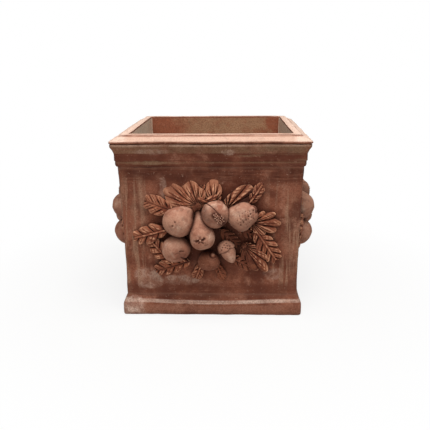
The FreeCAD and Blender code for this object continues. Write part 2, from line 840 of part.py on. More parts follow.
def spray(model, name, rows):
    """Join the leaves of one spray."""
    laid = []
    for number, (across, up, heading, length_share, width_share) in enumerate(rows):
        label = f"{name}_{number}"
        length = length_share * model.size("leaf_length")
        width = width_share * model.size("leaf_width")
        blade = leaf(model, label, length, width)
        laid.append(lay_on_wall(model, blade, label + "_laid", across, up, heading, length))
    joined = model.add("Part::MultiFuse", name + "_joined")
    joined.Shapes = laid
    return joined


def make_leaves(model, block, fruit):
    """Make the sprays of the front, each trimmed to the wall, to the fruit and to the sprays before it."""
    over = list(fruit)
    for name, rows in SPRAY_SHARES.items():
        joined = spray(model, name, rows)
        add_sides(model, name, trim(model, name, joined, [block] + over))
        over.append(joined)


def check(model):
    """Stop if any object failed, or if any piece has no sound solid."""
    for thing in model.doc.Objects:
        if "Invalid" in thing.State or "Error" in thing.State:
            raise RuntimeError(f"{thing.Name} failed: {thing.State}")
    for piece in model.pieces:
        if piece.Shape.isNull() or not piece.Shape.isValid() or not piece.Shape.Solids:
            raise RuntimeError(f"{piece.Label} has no sound solid")


def main():
    """Build the planter and write one file for each piece."""
    model = Model()
    block = make_pot(model)
    fruit = make_fruit(model, block)
    make_leaves(model, block, fruit)
    model.doc.recompute()
    check(model)
    os.makedirs("parts", exist_ok=True)
    for piece in model.pieces:
        piece.Shape.exportStep(f"parts/{piece.Label}.step")
        if piece.Label.endswith("_front") or piece.Label == "floor_slab":
            print(piece.Label, len(piece.Shape.Solids), "solids", round(piece.Shape.Volume), "mm3")


main()
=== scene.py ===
"""Looks of a square terracotta planter: clay courses, moulded fruit and veined leaves on every side.

Metres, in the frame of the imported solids: +Z up, the front face towards -Y. Sizes in the classes are millimetres.
"""
import logging
import math
from collections.abc import Callable, Iterator
from contextlib import contextmanager
from dataclasses import dataclass, replace
from enum import Enum
from functools import cached_property, partial, reduce

import bmesh
import bpy
from mathutils import Matrix, Vector, noise
from mathutils.geometry import intersect_point_line


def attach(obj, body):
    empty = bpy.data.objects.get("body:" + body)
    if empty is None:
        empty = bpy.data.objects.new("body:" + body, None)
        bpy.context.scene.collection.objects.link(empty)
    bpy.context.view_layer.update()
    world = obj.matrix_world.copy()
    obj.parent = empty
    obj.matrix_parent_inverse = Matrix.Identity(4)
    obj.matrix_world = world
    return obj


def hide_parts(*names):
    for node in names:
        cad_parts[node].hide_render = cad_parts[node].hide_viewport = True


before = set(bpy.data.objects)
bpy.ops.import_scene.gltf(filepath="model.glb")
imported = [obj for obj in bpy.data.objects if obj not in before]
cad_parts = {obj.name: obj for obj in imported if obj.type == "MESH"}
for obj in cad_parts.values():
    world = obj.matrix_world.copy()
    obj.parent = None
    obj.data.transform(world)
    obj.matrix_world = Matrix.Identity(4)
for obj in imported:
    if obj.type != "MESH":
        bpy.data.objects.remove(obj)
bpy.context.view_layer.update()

LOG = logging.getLogger("planter")
MM = 0.001

# The wall face that the relief is luted on, the height of the relief's middle, and how deep pieces run in.
WALL_FACE = 206.3
RELIEF_LEVEL = 225.0
LUTED_DEPTH = 6.0

# The plane that strokes are drawn on, and how a place that stands before it shifts to the eye.
DRAWN_PLANE = 225.0
EYE_ACROSS = 45.0
EYE_DISTANCE = 1189.0
EYE_FALL = 0.30
EYE_RISE = 3.0

# How far a stroke's painted shade spreads, and how much the painted highlight on a rubbed crest weighs against a
# crevice.
SHADE_SPREAD = 1.3
CREST_WEIGHT = 1.3

# The unevenness of the hand on the courses: how wide each kind is, and how far it moves the clay.
HAND = ((95, 1.1), (26, 0.55), (9, 0.22))

# An edge longer than this, in metres, runs the length of a side.
SIDE_EDGE = 0.1

# How high a leaf arches between base and tip, how low it may lie, and its middle as a share of its length.
ARCH = 3.0
THINNEST = 1.5
LEAF_MIDDLE = 0.45

Triple = tuple[float, float, float]
Colour = tuple[int, int, int]
Spot = tuple[float, float]
Piece = bpy.types.Object
Socket = bpy.types.NodeSocket


class Side(Enum):
    """The sides of the planter, each with its turn about the upright axis in degrees."""

    FRONT = 0
    RIGHT = 90
    BACK = 180
    LEFT = 270

    @property
    def label(self) -> str:
        """Give the side's name as the nodes spell it."""
        return self.name.lower()

    @property
    def mirrored(self) -> bool:
        """Tell whether the relief of this side is the mirror image of the front's."""
        return self is Side.LEFT

    @property
    def turn(self) -> Matrix:
        """Give the turn that carries a front piece to this side, after mirroring it where needed."""
        flip = Matrix.Scale(-1 if self.mirrored else 1, 4, (1, 0, 0))
        return Matrix.Rotation(math.radians(self.value), 4, "Z") @ flip


class Slot(Enum):
    """The record's material slots."""

    POT = "pot_clay"
    FRUIT = "fruit_clay"
    LEAF = "leaf_clay"


def linear(colour: Colour) -> Triple:
    """Turn a colour as it is seen on a screen, 0 to 255, into the shader's linear colour."""
    shares = (part / 255 for part in colour)
    return tuple(share / 12.92 if share <= 0.04045 else ((share + 0.055) / 1.055) ** 2.4 for share in shares)


def ease(low: float, high: float, value: float) -> float:
    """Rise smoothly from 0 where the value is low to 1 where it is high."""
    share = min(1.0, max(0.0, (value - low) / (high - low)))
    return share * share * (3 - 2 * share)


def hump(distance: float, width: float) -> float:
    """Give a soft hump that is 1 at no distance and fades over the width."""
    return math.exp(-((distance / width) ** 2))


def choose(*pieces: Piece) -> None:
    """Select some pieces and nothing else, the first of them active.

    Args:
        pieces: The objects, or none to deselect all.
    """
    bpy.ops.object.select_all(action="DESELECT")
    for piece in pieces:
        piece.select_set(True)
    if pieces:
        bpy.context.view_layer.objects.active = pieces[0]


def primitive(add: Callable[..., object], name: str, **settings: object) -> Piece:
    """Add one of Blender's primitive meshes, alone selected.

    Args:
        add: The primitive's operator.
        name: The name of the new object.
        settings: What the operator is told.

    Returns:
        The new mesh object.
    """
    choose()
    add(**settings)
    piece = bpy.context.active_object
    piece.name = name
    return piece


@contextmanager
def editing(piece: Piece) -> Iterator[None]:
    """Open a piece alone in edit mode with nothing selected, and close it at the end.

    Args:
        piece: The mesh object to edit.
    """
    choose(piece)
    bpy.ops.object.mode_set(mode="EDIT")
    bpy.ops.mesh.select_all(action="DESELECT")
    yield
    bpy.ops.object.mode_set(mode="OBJECT")


def take_all() -> None:
    """Select the whole of the open piece."""
    bpy.ops.mesh.select_all(action="SELECT")


def face_out() -> None:
    """Turn all faces of the open piece outwards."""
    take_all()
    bpy.ops.mesh.normals_make_consistent(inside=False)


def pick(piece: Piece, kind: str, test: Callable[[object], bool]) -> None:
    """Select the parts of an open piece that pass a test.

    Args:
        piece: The mesh object in edit mode.
        kind: "edges" or "faces".
        test: Tells whether a part is wanted.
    """
    bpy.ops.mesh.select_mode(type={"edges": "EDGE", "faces": "FACE"}[kind])
    bpy.ops.mesh.select_all(action="DESELECT")
    work = bmesh.from_edit_mesh(piece.data)
    for part in getattr(work, kind):
        if test(part):
            part.select_set(True)
    work.select_flush_mode()
    bmesh.update_edit_mesh(piece.data)


def unsettle(piece: Piece, grain: float, reach: float) -> None:
    """Push the active piece's surface about by hand, the same way wherever pieces meet.

    Args:
        piece: The mesh object.
        grain: The size of the unevenness.
        reach: How far it moves at most, either way.
    """
    cloud = bpy.data.textures.new(f"{piece.name}_hand_{grain:g}", "CLOUDS")
    cloud.cloud_type = "COLOR"
    cloud.noise_scale = grain * MM
    cloud.noise_depth = 1
    bpy.ops.object.modifier_add(type="DISPLACE")
    push = piece.modifiers[-1]
    push.texture = cloud
    push.texture_coords = "LOCAL"
    push.direction = "RGB_TO_XYZ"
    push.mid_level = 0.5
    push.strength = 2 * reach * MM
    bpy.ops.object.modifier_apply(modifier=push.name)


def painted_shading(piece: Piece, hollows: list[float]) -> None:
    """Write each point's painted shade and highlight: 1 for painted shade deep in a crevice, -1 for painted highlight
    on a crest.
    """
    layer = piece.data.attributes.get("hollow") or piece.data.attributes.new("hollow", "FLOAT", "POINT")
    layer.data.foreach_set("value", hollows)


def soften(piece: Piece, degrees: float) -> None:
    """Shade a piece smooth, but for arrises sharper than the angle."""
    choose(piece)
    bpy.ops.object.shade_smooth_by_angle(angle=math.radians(degrees))


def settle(piece: Piece, finish: "Clay", nodes: list[str]) -> None:
    """Give a piece its finish and its place on the planter.

    Args:
        piece: The finished mesh object.
        finish: Its clay.
        nodes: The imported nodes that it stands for.
    """
    piece.data.materials.clear()
    piece.data.materials.append(finish.material())
    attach(piece, "root")
    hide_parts(*nodes)
    LOG.info("%s: %d faces", piece.name, len(piece.data.polygons))


def settle_round(front: Piece, name: str, finish: "Clay") -> None:
    """Settle a front piece and its copies on the other sides.

    Args:
        front: The finished piece of the front.
        name: The nodes' name without its side.
        finish: Its clay.
    """
    for side in Side:
        piece = front
        if side is not Side.FRONT:
            piece = front.copy()
            piece.data = front.data.copy()
            piece.data.transform(side.turn)
            if side.mirrored:
                piece.data.flip_normals()
            bpy.context.scene.collection.objects.link(piece)
        piece.name = f"{side.label}_{name}"
        settle(piece, finish, [f"{name}_{side.label}"])


class NodeDesk:
    """The node tree of a material or world, the coat of colour that grows on it, and short ways to add nodes."""

    def __init__(self, block: bpy.types.Material | bpy.types.World) -> None:
        """Empty the tree.

        Args:
            block: The new material or world.
        """
        block.use_nodes = True
        self.block = block
        self.tree = block.node_tree
        self.tree.nodes.clear()
        self.coat = None

    @cached_property
    def place(self) -> Socket:
        """Give the place on the object."""
        return self.add("TexCoord").outputs["Object"]

    @cached_property
    def axes(self) -> bpy.types.NodeOutputs:
        """Give the place's X, Y and Z."""
        return self.add("SeparateXYZ", {0: self.place}).outputs

    @cached_property
    def facing(self) -> bpy.types.NodeOutputs:
        """Give X, Y and Z of the way that the surface faces."""
        return self.add("SeparateXYZ", {0: self.add("NewGeometry").outputs["Normal"]}).outputs

    @cached_property
    def ragged(self) -> Socket:
        """Give the cloudy pattern that breaks the edges of patches and bands."""
        return self.grain(26, 5, shift=2.2)

    def add(self, kind: str, inputs: dict | None = None, **settings: object) -> bpy.types.Node:
        """Add a shader node.

        Args:
            kind: The node's type without its ShaderNode prefix.
            inputs: Sockets to link, and numbers or seen colours to set, by name or number.
            settings: The node's own properties.

        Returns:
            The new node.
        """
        node = self.tree.nodes.new("ShaderNode" + kind)
        for key, value in settings.items():
            setattr(node, key, value)
        for key, value in (inputs or {}).items():
            if isinstance(value, Socket):
                self.tree.links.new(value, node.inputs[key])
            elif node.inputs[key].type == "RGBA":
                node.inputs[key].default_value = (*linear(value), 1.0)
            else:
                node.inputs[key].default_value = value
        return node

    def maths(self, operation: str, *values: object, clamp: bool = False) -> Socket:
        """Work out one number from others."""
        return self.add("Math", dict(enumerate(values)), operation=operation, use_clamp=clamp).outputs[0]

    def times(self, *shares: object) -> object:
        """Multiply shares, each a socket or a number."""
        return reduce(partial(self.maths, "MULTIPLY"), shares)

    def rise(self, value: object, low: float, high: float, start: float = 0.0, end: float = 1.0) -> Socket:
        """Map a value smoothly, from start where it is low to end where it is high."""
        inputs = {0: value, 1: low, 2: high, 3: start, 4: end}
        return self.add("MapRange", inputs, interpolation_type="SMOOTHSTEP").outputs[0]

    def grain(self, scale: float, detail: float = 3.0, stretch: Triple = (1, 1, 1), shift: float = 0.0) -> Socket:
        """Give a cloudy pattern about a half.

        Args:
            scale: How many lumps there are in a metre.
            detail: How many finer layers it has.
            stretch: Scales of the three axes.
            shift: Slides the pattern, so that two of them differ.

        Returns:
            The pattern's value.
        """
        spot = self.add("Mapping", {"Vector": self.place, "Scale": stretch, "Location": (shift, shift, shift)})
        inputs = {"Vector": spot.outputs[0], "Scale": scale, "Detail": detail, "Roughness": 0.6}
        return self.add("TexNoise", inputs).outputs[0]

    def blend(self, first: object, second: object, *shares: object) -> Socket:
        """Blend two colours, by as much of the second as the product of the shares says."""
        return self.add("Mix", {0: self.times(*shares), 6: first, 7: second}, data_type="RGBA").outputs[2]

    def lay(self, tint: object, *shares: object) -> None:
        """Lay a tint on the coat, as far as the product of the shares says."""
        self.coat = self.blend(self.coat, tint, *shares)

    def patch(self, middle: Triple, reach: Triple, rag: float = 0.9) -> Socket:
        """Mask a ragged oval patch.

        Args:
            middle: Its middle in millimetres.
            reach: Its half sizes in millimetres.
            rag: How much its edge breaks.

        Returns:
            The mask, 1 inside.
        """
        scale = tuple(1 / (MM * part) for part in reach)
        shift = tuple(-place / part for place, part in zip(middle, reach))
        spot = self.add("Mapping", {"Vector": self.place, "Location": shift, "Scale": scale})
        far = self.add("VectorMath", {0: spot.outputs[0]}, operation="LENGTH").outputs["Value"]
        return self.rise(self.torn(2 * rag, far), 1.0, 0.58)

    def torn(self, rag: float, value: Socket) -> Socket:
        """Shift a value to and fro by the ragged pattern."""
        return self.maths("MULTIPLY_ADD", self.maths("SUBTRACT", self.ragged, 0.5), rag, value)

    def band(self, height: Socket, low: float, high: float, soft: float) -> Socket:
        """Mask the levels between two heights in millimetres, with edges twice as wide as soft."""
        up = self.rise(height, (low - soft) * MM, (low + soft) * MM)
        return self.times(up, self.rise(height, (high + soft) * MM, (high - soft) * MM))

    def aside(self, choice: str) -> Socket:
        """Give the MINIMUM or MAXIMUM of how far a place lies from the two upright middle planes."""
        return self.maths(choice, *(self.maths("ABSOLUTE", self.axes[axis]) for axis in "XY"))


@dataclass(frozen=True)
class Clay:
    """Fired clay: a mottled body with sandy grain, painted shade in its crevices and on its undersides, and pale high
    spots that are rubbed and carry painted highlight.

    Attributes:
        name: The material's name.
        slot: The record's slot for it; not used.
        deep: The darkest colour of the body.
        body: Its common colour.
        pale: Its lightest colour.
        dirt: The colour of random blotches, and of painted shade in crevices and on undersides.
        wear_and_highlight: The colour of rubbed specks, and of arrises and crests, which are rubbed and carry painted
            highlight.
        edge_wear_and_highlight: How pale the arrises are, rubbed and with painted highlight.
        dirt_reach: How wide a gap may be and still take painted shade, in metres.
        dirt_share: How dark the painted shade in such a gap is.
        underside_shade: How much painted shade lies on the undersides.
        crest: How pale crests are, rubbed and with painted highlight.
        underside_shade: How dark the undersides are.
        mottle: How dark the blotches all over are.
    """

    name: str
    slot: Slot
    deep: Colour
    body: Colour
    pale: Colour
    dirt: Colour
    wear_and_highlight: Colour
    edge_wear_and_highlight: float
    dirt_reach: float
    dirt_share: float
    crest: float = 0.0
    underside_shade: float = 0.0
    mottle: float = 0.12

    def material(self) -> bpy.types.Material:
        """Give the clay's material, made the first time it is asked for."""
        return bpy.data.materials.get(self.name) or self.mixed(NodeDesk(bpy.data.materials.new(self.name)))

    def mixed(self, desk: NodeDesk) -> bpy.types.Material:
        """Build the nodes.

        Args:
            desk: The material's desk.

        Returns:
            The finished material.
        """
        self.colour(desk)
        up = desk.facing["Z"]
        # Ambient occlusion paints shade into crevices and narrow gaps.
        light = desk.add("AmbientOcclusion", {"Distance": self.dirt_reach}, samples=12).outputs["AO"]
        crevice = desk.rise(light, 0.85, 0.20, 0.0, self.dirt_share)
        hollow = desk.add("Attribute", attribute_name="hollow").outputs["Fac"]
        arris = desk.add("NewGeometry").outputs["Pointiness"]
        # Painted shade on what faces down.
        desk.lay(self.dirt, desk.rise(up, 0.1, -0.8, 0.0, self.underside_shade))
        desk.lay(self.dirt, desk.rise(desk.grain(75, 5, shift=8.0), 0.50, 0.66, 0.0, self.mottle))
        desk.lay(self.deep, desk.rise(desk.grain(330, 2), 0.40, 0.66, 0.0, 0.45), desk.rise(up, 0.35, 0.90, 1.0, 0.35))
        desk.lay(self.wear_and_highlight, desk.rise(desk.grain(260, 1, shift=3.0), 0.64, 0.80, 0.0, 0.35))
        # Painted shade in crevices, from the occlusion and from the written point values.
        desk.lay(self.dirt, desk.maths("MAXIMUM", crevice, desk.times(hollow, 0.95), clamp=True))
        # Painted highlight, with rubbing, on the crests that the written point values mark.
        desk.lay(self.wear_and_highlight, desk.maths("MULTIPLY", hollow, -self.crest, clamp=True))
        # Pale arrises: rubbed edges that also carry painted highlight.
        desk.lay(self.wear_and_highlight, desk.rise(arris, 0.52, 0.60, 0.0, self.edge_wear_and_highlight))
        rough = desk.rise(desk.grain(60, 4), 0.3, 0.7, 0.78, 0.95)
        inputs = {"Base Color": desk.coat, "Roughness": rough, "Specular IOR Level": 0.25, "Normal": self.tooled(desk)}
        desk.add("OutputMaterial", {"Surface": desk.add("BsdfPrincipled", inputs).outputs[0]})
        return desk.block

    def colour(self, desk: NodeDesk) -> None:
        """Mottle the body from deep to pale."""
        desk.coat = desk.blend(self.deep, self.body, desk.rise(desk.grain(14, 5), 0.35, 0.60))
        desk.lay(self.pale, desk.rise(desk.grain(34, 6, shift=1.7), 0.50, 0.72))

    def tooled(self, desk: NodeDesk) -> Socket:
        """Give the fine relief of sand and of small burst bubbles.

        Args:
            desk: The material's desk.

        Returns:
            The bumped normal.
        """
        cells = desk.add("TexVoronoi", {"Vector": desk.place, "Scale": 95.0})
        bubble = desk.rise(cells.outputs["Distance"], 0.06, 0.14)
        height = desk.maths("MULTIPLY_ADD", desk.grain(520, 3), 0.25, desk.grain(70, 4, shift=5.0))
        height = desk.maths("MULTIPLY_ADD", bubble, 0.35, height)
        return desk.add("Bump", {"Strength": 0.75, "Distance": 0.0014, "Height": height}).outputs[0]


@dataclass(frozen=True)
class PotClay(Clay):
    """The pot's own clay, with lime bloom, pale upright streaks, courses that weathered differently and painted
    shadow, shade and highlight.
    """

    top: Colour = (216, 177, 155)
    bleach_and_highlight: Colour = (232, 200, 180)
    ash: Colour = (140, 108, 82)
    dust: Colour = (184, 144, 116)
    rim_shadow: Colour = (77, 36, 22)
    band: Colour = (160, 108, 86)
    bloom: Colour = (192, 158, 138)
    lime: Colour = (250, 228, 200)
    inner: Colour = (176, 134, 100)
    rust: Colour = (158, 92, 64)

    def colour(self, desk: NodeDesk) -> None:
        """Colour the body, then its streaks, courses, bloom, inside and top in that order.

        Args:
            desk: The material's desk.
        """
        super().colour(desk)
        for step in (self.streak, self.tint_courses, self.bloom_over, self.line, self.bleach_top_and_shade_curb):
            step(desk)

    def streak(self, desk: NodeDesk) -> None:
        """Run pale streaks down the walls, most of them towards the corners.

        Args:
            desk: The material's desk.
        """
        runs = desk.rise(desk.grain(1.0, 4, stretch=(85, 85, 5), shift=0.4), 0.47, 0.60)
        corner = desk.rise(desk.aside("MINIMUM"), 0.10, 0.19)
        desk.lay(self.dust, runs, corner, desk.band(desk.axes["Z"], 60, 350, 25), 0.55)

    def tint_courses(self, desk: NodeDesk) -> None:
        """Tint the courses: an ashy cove, a dark fascia, painted shadow along the foot of the curb step, painted
        shadow of the rim on the wall head and a painted highlight along the foot shoulder.

        Args:
            desk: The material's desk.
        """
        rows = (
            (377, 394, 2, self.deep, 0.95),
            (394, 415, 2, self.ash, 0.80),
            # Painted shadow along the foot of the curb step.
            (429.0, 432.4, 0.8, self.deep, 0.85),
            (409.5, 414.2, 1.0, self.bloom, 0.60),
            (364, 377, 3, self.deep, 0.70),
            (371.0, 374.6, 0.9, self.ash, 0.60),
            # Painted shadow of the rim's overhang on the wall head.
            (325, 364, 14, self.rim_shadow, 0.95),
            (44, 80, 8, self.deep, 0.80),
            # Painted highlight along the foot shoulder.
            (33, 40.5, 1.6, self.bleach_and_highlight, 0.75),
            (0, 28, 3, self.band, 0.75),
        )
        dragged = desk.grain(1.0, 5, stretch=(9, 9, 140), shift=6.1)
        patchy = desk.times(desk.rise(desk.ragged, 0.30, 0.62, 0.35, 1.0), desk.rise(dragged, 0.34, 0.50, 0.45, 1.0))
        level = desk.axes["Z"]
        sagging = desk.maths("ADD", level, desk.rise(desk.aside("MINIMUM"), 0.20, 0.0, 0.0, 0.0045))
        for low, high, soft, tint, share in rows:
            desk.lay(tint, desk.band(level if low > 80 else sagging, low, high, soft), patchy, share)
        smear = desk.rise(desk.grain(1.0, 5, stretch=(9, 9, 120), shift=9.4), 0.52, 0.68)
        desk.lay(self.ash, desk.band(level, 366, 414, 3), smear, 0.55)

    def bloom_over(self, desk: NodeDesk) -> None:
        """Lay painted shade on the ground about the relief, then the lime bloom of the front and of the other sides.

        Args:
            desk: The material's desk.
        """
        wall, rim = -WALL_FACE, -WALL_FACE - 8
        patches = (
            ((-154, wall, 92), (36, 60, 34), 0.68, self.bloom),
            ((-72, wall, 88), (48, 60, 15), 0.60, self.bloom),
            ((-165, wall, 265), (24, 60, 70), 0.25, self.dust),
            ((-108, wall, 300), (10, 60, 40), 0.50, self.bloom),
            ((190, wall, 190), (24, 60, 130), 0.20, self.dust),
            ((150, wall, 104), (26, 60, 20), 0.40, self.bloom),
            ((38, rim, 396), (20, 60, 9), 0.80, self.bloom),
            ((-140, rim, 398), (50, 60, 9), 0.50, self.bloom),
            ((-140, rim, 372), (64, 60, 7), 0.90, self.ash),
            ((-192, rim, 20), (42, 60, 30), 0.75, self.bleach_and_highlight),
        )
        front = desk.rise(desk.axes["Y"], -0.15, -0.19)
        # Painted shade about the relief.
        desk.lay(self.deep, desk.patch((5, wall, 215), (175, 120, 120), 0.5), 0.8)
        crusty = desk.rise(desk.grain(55, 6, shift=4.4), 0.40, 0.60, 0.25, 1.0)
        for middle, reach, share, tint in patches:
            desk.lay(tint, desk.patch(middle, reach), front, crusty, share)
        lime = desk.rise(desk.grain(9, 5, shift=7.3), 0.56, 0.70)
        desk.lay(self.bloom, lime, desk.maths("SUBTRACT", 1.0, front), 0.45)

    def line(self, desk: NodeDesk) -> None:
        """Colour the inside: dry clay with torn rust patches, and lime that fades down the sides.

        Args:
            desk: The material's desk.
        """
        torn = desk.torn(0.22, desk.axes["X"])
        rusty = desk.maths("MAXIMUM", desk.rise(torn, -0.02, -0.15), desk.rise(torn, 0.125, 0.165))
        clouds = desk.rise(desk.grain(16, 6, shift=2.0), 0.50, 0.66, 0.0, 0.7)
        crust = desk.rise(desk.maths("MULTIPLY_ADD", desk.ragged, 0.16, desk.axes["Z"]), 0.24, 0.42, 0.50, 1.0)
        left = desk.rise(desk.facing["X"], 0.4, 0.8, 0.0, 0.95)
        right = desk.rise(desk.facing["X"], -0.4, -0.8, 0.0, 0.80)
        lining = desk.blend(self.inner, self.rust, desk.maths("MAXIMUM", rusty, clouds))
        lining = desk.blend(lining, self.lime, desk.maths("MAXIMUM", left, right), crust)
        within = desk.rise(desk.aside("MAXIMUM"), 0.196, 0.190)
        desk.lay(lining, within, desk.rise(desk.axes["Z"], 0.433, 0.428), 0.90)

    def bleach_top_and_shade_curb(self, desk: NodeDesk) -> None:
        """Bleach what faces the sky at the rim, but for a painted shadow line along the foot of the curb step.

        Args:
            desk: The material's desk.
        """
        level = desk.axes["Z"]
        beside = desk.rise(desk.maths("ABSOLUTE", desk.axes["X"]), 0.180, 0.196)
        flat = desk.rise(desk.facing["Z"], 0.20, 0.80)
        patchy = desk.rise(desk.ragged, 0.22, 0.50, 0.82, 1.0)
        desk.lay(desk.blend(self.top, self.bleach_and_highlight, beside), flat, desk.rise(level, 0.4162, 0.4190), patchy)
        # Painted shadow line along the foot of the curb step.
        desk.lay(self.body, desk.band(level, 429.4, 431.6, 0.8), desk.rise(desk.ragged, 0.30, 0.50, 0.4, 0.8))


POT_CLAY = PotClay(
    "fired_pot", Slot.POT, deep=(98, 50, 34), body=(148, 90, 67), pale=(172, 118, 94), dirt=(52, 25, 17),
    wear_and_highlight=(205, 160, 136), edge_wear_and_highlight=0.25, dirt_reach=0.03, dirt_share=0.60,
)
FRUIT_CLAY = Clay(
    "fired_fruit", Slot.FRUIT, deep=(160, 104, 82), body=(190, 140, 115), pale=(207, 166, 142), dirt=(70, 32, 22),
    wear_and_highlight=(226, 190, 166), edge_wear_and_highlight=0.20, dirt_reach=0.035, dirt_share=0.80, underside_shade=0.38, mottle=0.36, crest=0.55,
)
FIG_CLAY = replace(
    FRUIT_CLAY, name="fired_fig", deep=(108, 58, 40), body=(136, 84, 62), pale=(156, 104, 82), wear_and_highlight=(200, 150, 124)
)
LEAF_CLAY = Clay(
    "fired_leaf", Slot.LEAF, deep=(118, 60, 40), body=(148, 84, 58), pale=(176, 106, 74), dirt=(40, 16, 10),
    wear_and_highlight=(240, 177, 138), edge_wear_and_highlight=0.60, dirt_reach=0.016, dirt_share=0.90, crest=0.88, underside_shade=0.20, mottle=0.25,
)


@dataclass
class Course:
    """A ring of luted clay strips: one closed outline, extruded level by level about the pot.

    Attributes:
        name: The course's name, as its nodes start.
        outline: Half width, level and softness of each arris, up the outside and down the inside.
        step: The longest stretch of outline without a loop.
        corner: The radius of the upright corners.
        panes: How many panes a side is divided into.
    """

    name: str
    outline: tuple[Triple, ...]
    step: float = 7.0
    corner: float = 6.0
    panes: int = 66

    def softened(self) -> list[Spot]:
        """Round the arrises of the outline and divide its long stretches.

        Returns:
            Half widths and levels in order round the closed outline.
        """
        spots = [Vector(arris[:2]) for arris in self.outline]
        rounded = []
        for before, spot, after, arris in zip(spots[-1:] + spots, spots, spots[1:] + spots[:1], self.outline):
            if not arris[2]:
                rounded.append(spot)
                continue
            first, last = (spot + (end - spot).normalized() * arris[2] for end in (before, after))
            rounded += [first, first * 0.25 + spot * 0.5 + last * 0.25, last]
        divided = []
        for start, end in zip(rounded, rounded[1:] + rounded[:1]):
            pieces = max(1, round((end - start).length / self.step))
            divided += [start.lerp(end, part / pieces) for part in range(pieces)]
        return [tuple(spot) for spot in divided]

    def build(self) -> Piece:
        """Model the ring.

        Returns:
            The mesh object, still even.
        """
        (half, level), *others = self.softened()
        plane = bpy.ops.mesh.primitive_plane_add
        piece = primitive(plane, self.name + "_course", size=2 * half * MM, location=(0, 0, level * MM))
        bpy.ops.object.transform_apply(location=True, rotation=True, scale=True)
        with editing(piece):
            take_all()
            bpy.ops.mesh.bevel(offset=self.corner * MM, segments=4, affect="VERTICES")
            take_all()
            bpy.ops.mesh.delete(type="ONLY_FACE")
            bpy.ops.mesh.select_mode(type="EDGE")
            take_all()
            for next_half, next_level in others:
                bpy.ops.mesh.extrude_edges_move(TRANSFORM_OT_translate={"value": (0, 0, (next_level - level) * MM)})
                share = next_half / half
                bpy.ops.transform.resize(value=(share, share, 1), center_override=(0, 0, next_level * MM))
                half, level = next_half, next_level
            bpy.ops.mesh.select_all(action="DESELECT")
            bpy.ops.mesh.select_non_manifold()
            bpy.ops.mesh.bridge_edge_loops()
            pick(piece, "edges", lambda edge: edge.calc_length() > SIDE_EDGE)
            bpy.ops.mesh.subdivide(number_cuts=self.panes - 1)
            face_out()
        return piece

    def finish(self) -> None:
        """Model, unsettle and dress the course, with its joints kept at their levels."""
        piece = self.build()
        for grain, reach in HAND:
            unsettle(piece, grain, reach)
        levels = [level * MM for _, level, _ in self.outline]
        low, high = min(levels), max(levels)
        for point in piece.data.vertices:
            point.co.z = min(high, max(low, point.co.z))
        soften(piece, 32)
        settle(piece, POT_CLAY, [f"{self.name}_{side.label}" for side in Side])


FOOT = Course(
    "foot",
    (
        (178, 0, 0), (214.3, 0, 4), (214.3, 27, 3), (213.2, 31, 1.5), (209.7, 38, 3), (204.8, 50, 0),
        (178.4, 50, 0), (178, 28, 0),
    ),
)
WALL = Course(
    "wall",
    (
        (204.8, 50, 0), (203.9, 85, 0), (203.9, 120, 0), (204.7, 180, 0), (206.3, 240, 0), (208.2, 305, 0),
        (209.8, 362, 0), (183.8, 362, 0), (178.4, 50, 0),
    ),
)
RIM = Course(
    "rim",
    (
        (209.8, 362, 0), (213, 365, 1.5), (214.3, 369, 1.5), (214.3, 377, 1.2), (216, 377.6, 0.5), (216, 393, 1.5),
        (219.2, 401, 2), (223.6, 409, 1), (223.8, 414.6, 0.6), (221.6, 415, 0.4), (221.8, 416.2, 0.4),
        (224.6, 416.6, 0.6), (225.4, 418.8, 1), (223.8, 422.2, 1.6), (216.8, 424.8, 1.8), (202.6, 431.4, 0.8),
        (201.6, 434, 0.9), (185.6, 434, 1.6), (183.8, 362, 0),
    ),
    step=5,
)


@dataclass(frozen=True)
class Stroke:
    """A mark of the modelling tool on a fruit, drawn as it is seen from the front.

    Attributes:
        path: One spot, or the spots of a line, across and up.
        width: Its half width.
        depth: How deep it is pressed, or how high it stands where negative.
        painted_shading: How much painted shade lies in its bottom, or painted highlight on its top where it is raised,
            0 to 1.
    """

    path: tuple[Spot, ...]
    width: float
    depth: float
    painted_shading: float = 0.9

    def distance(self, spot: Vector) -> float:
        """Measure how far a spot is from the stroke.

        Args:
            spot: The spot, across and up.

        Returns:
            The distance to the nearest place of its path.
        """
        if len(self.path) == 1:
            return (spot - Vector(self.path[0])).length
        gaps = []
        for start, end in zip(self.path, self.path[1:]):
            foot, share = intersect_point_line(spot, start, end)
            nearest = foot.to_2d() if 0 <= share <= 1 else Vector(start if share < 0 else end)
            gaps.append((spot - nearest).length)
        return min(gaps)


def seen(place: Vector) -> Vector:
    """Slide a place on the front to the plane that strokes are drawn on.

    Args:
        place: The place, in metres.

    Returns:
        Where it shows on the plane, across and up, in millimetres.
    """
    proud = -place.y / MM - DRAWN_PLANE
    across = EYE_ACROSS + (place.x / MM - EYE_ACROSS) / (1 - proud / EYE_DISTANCE)
    return Vector((across, place.z / MM - EYE_RISE - EYE_FALL * proud))


def dots(spots: tuple[Spot, ...], width: float, depth: float, shading: float = 0.9) -> tuple[Stroke, ...]:
    """Make a stroke of each spot."""
    return tuple(Stroke((spot,), width, depth, shading) for spot in spots)


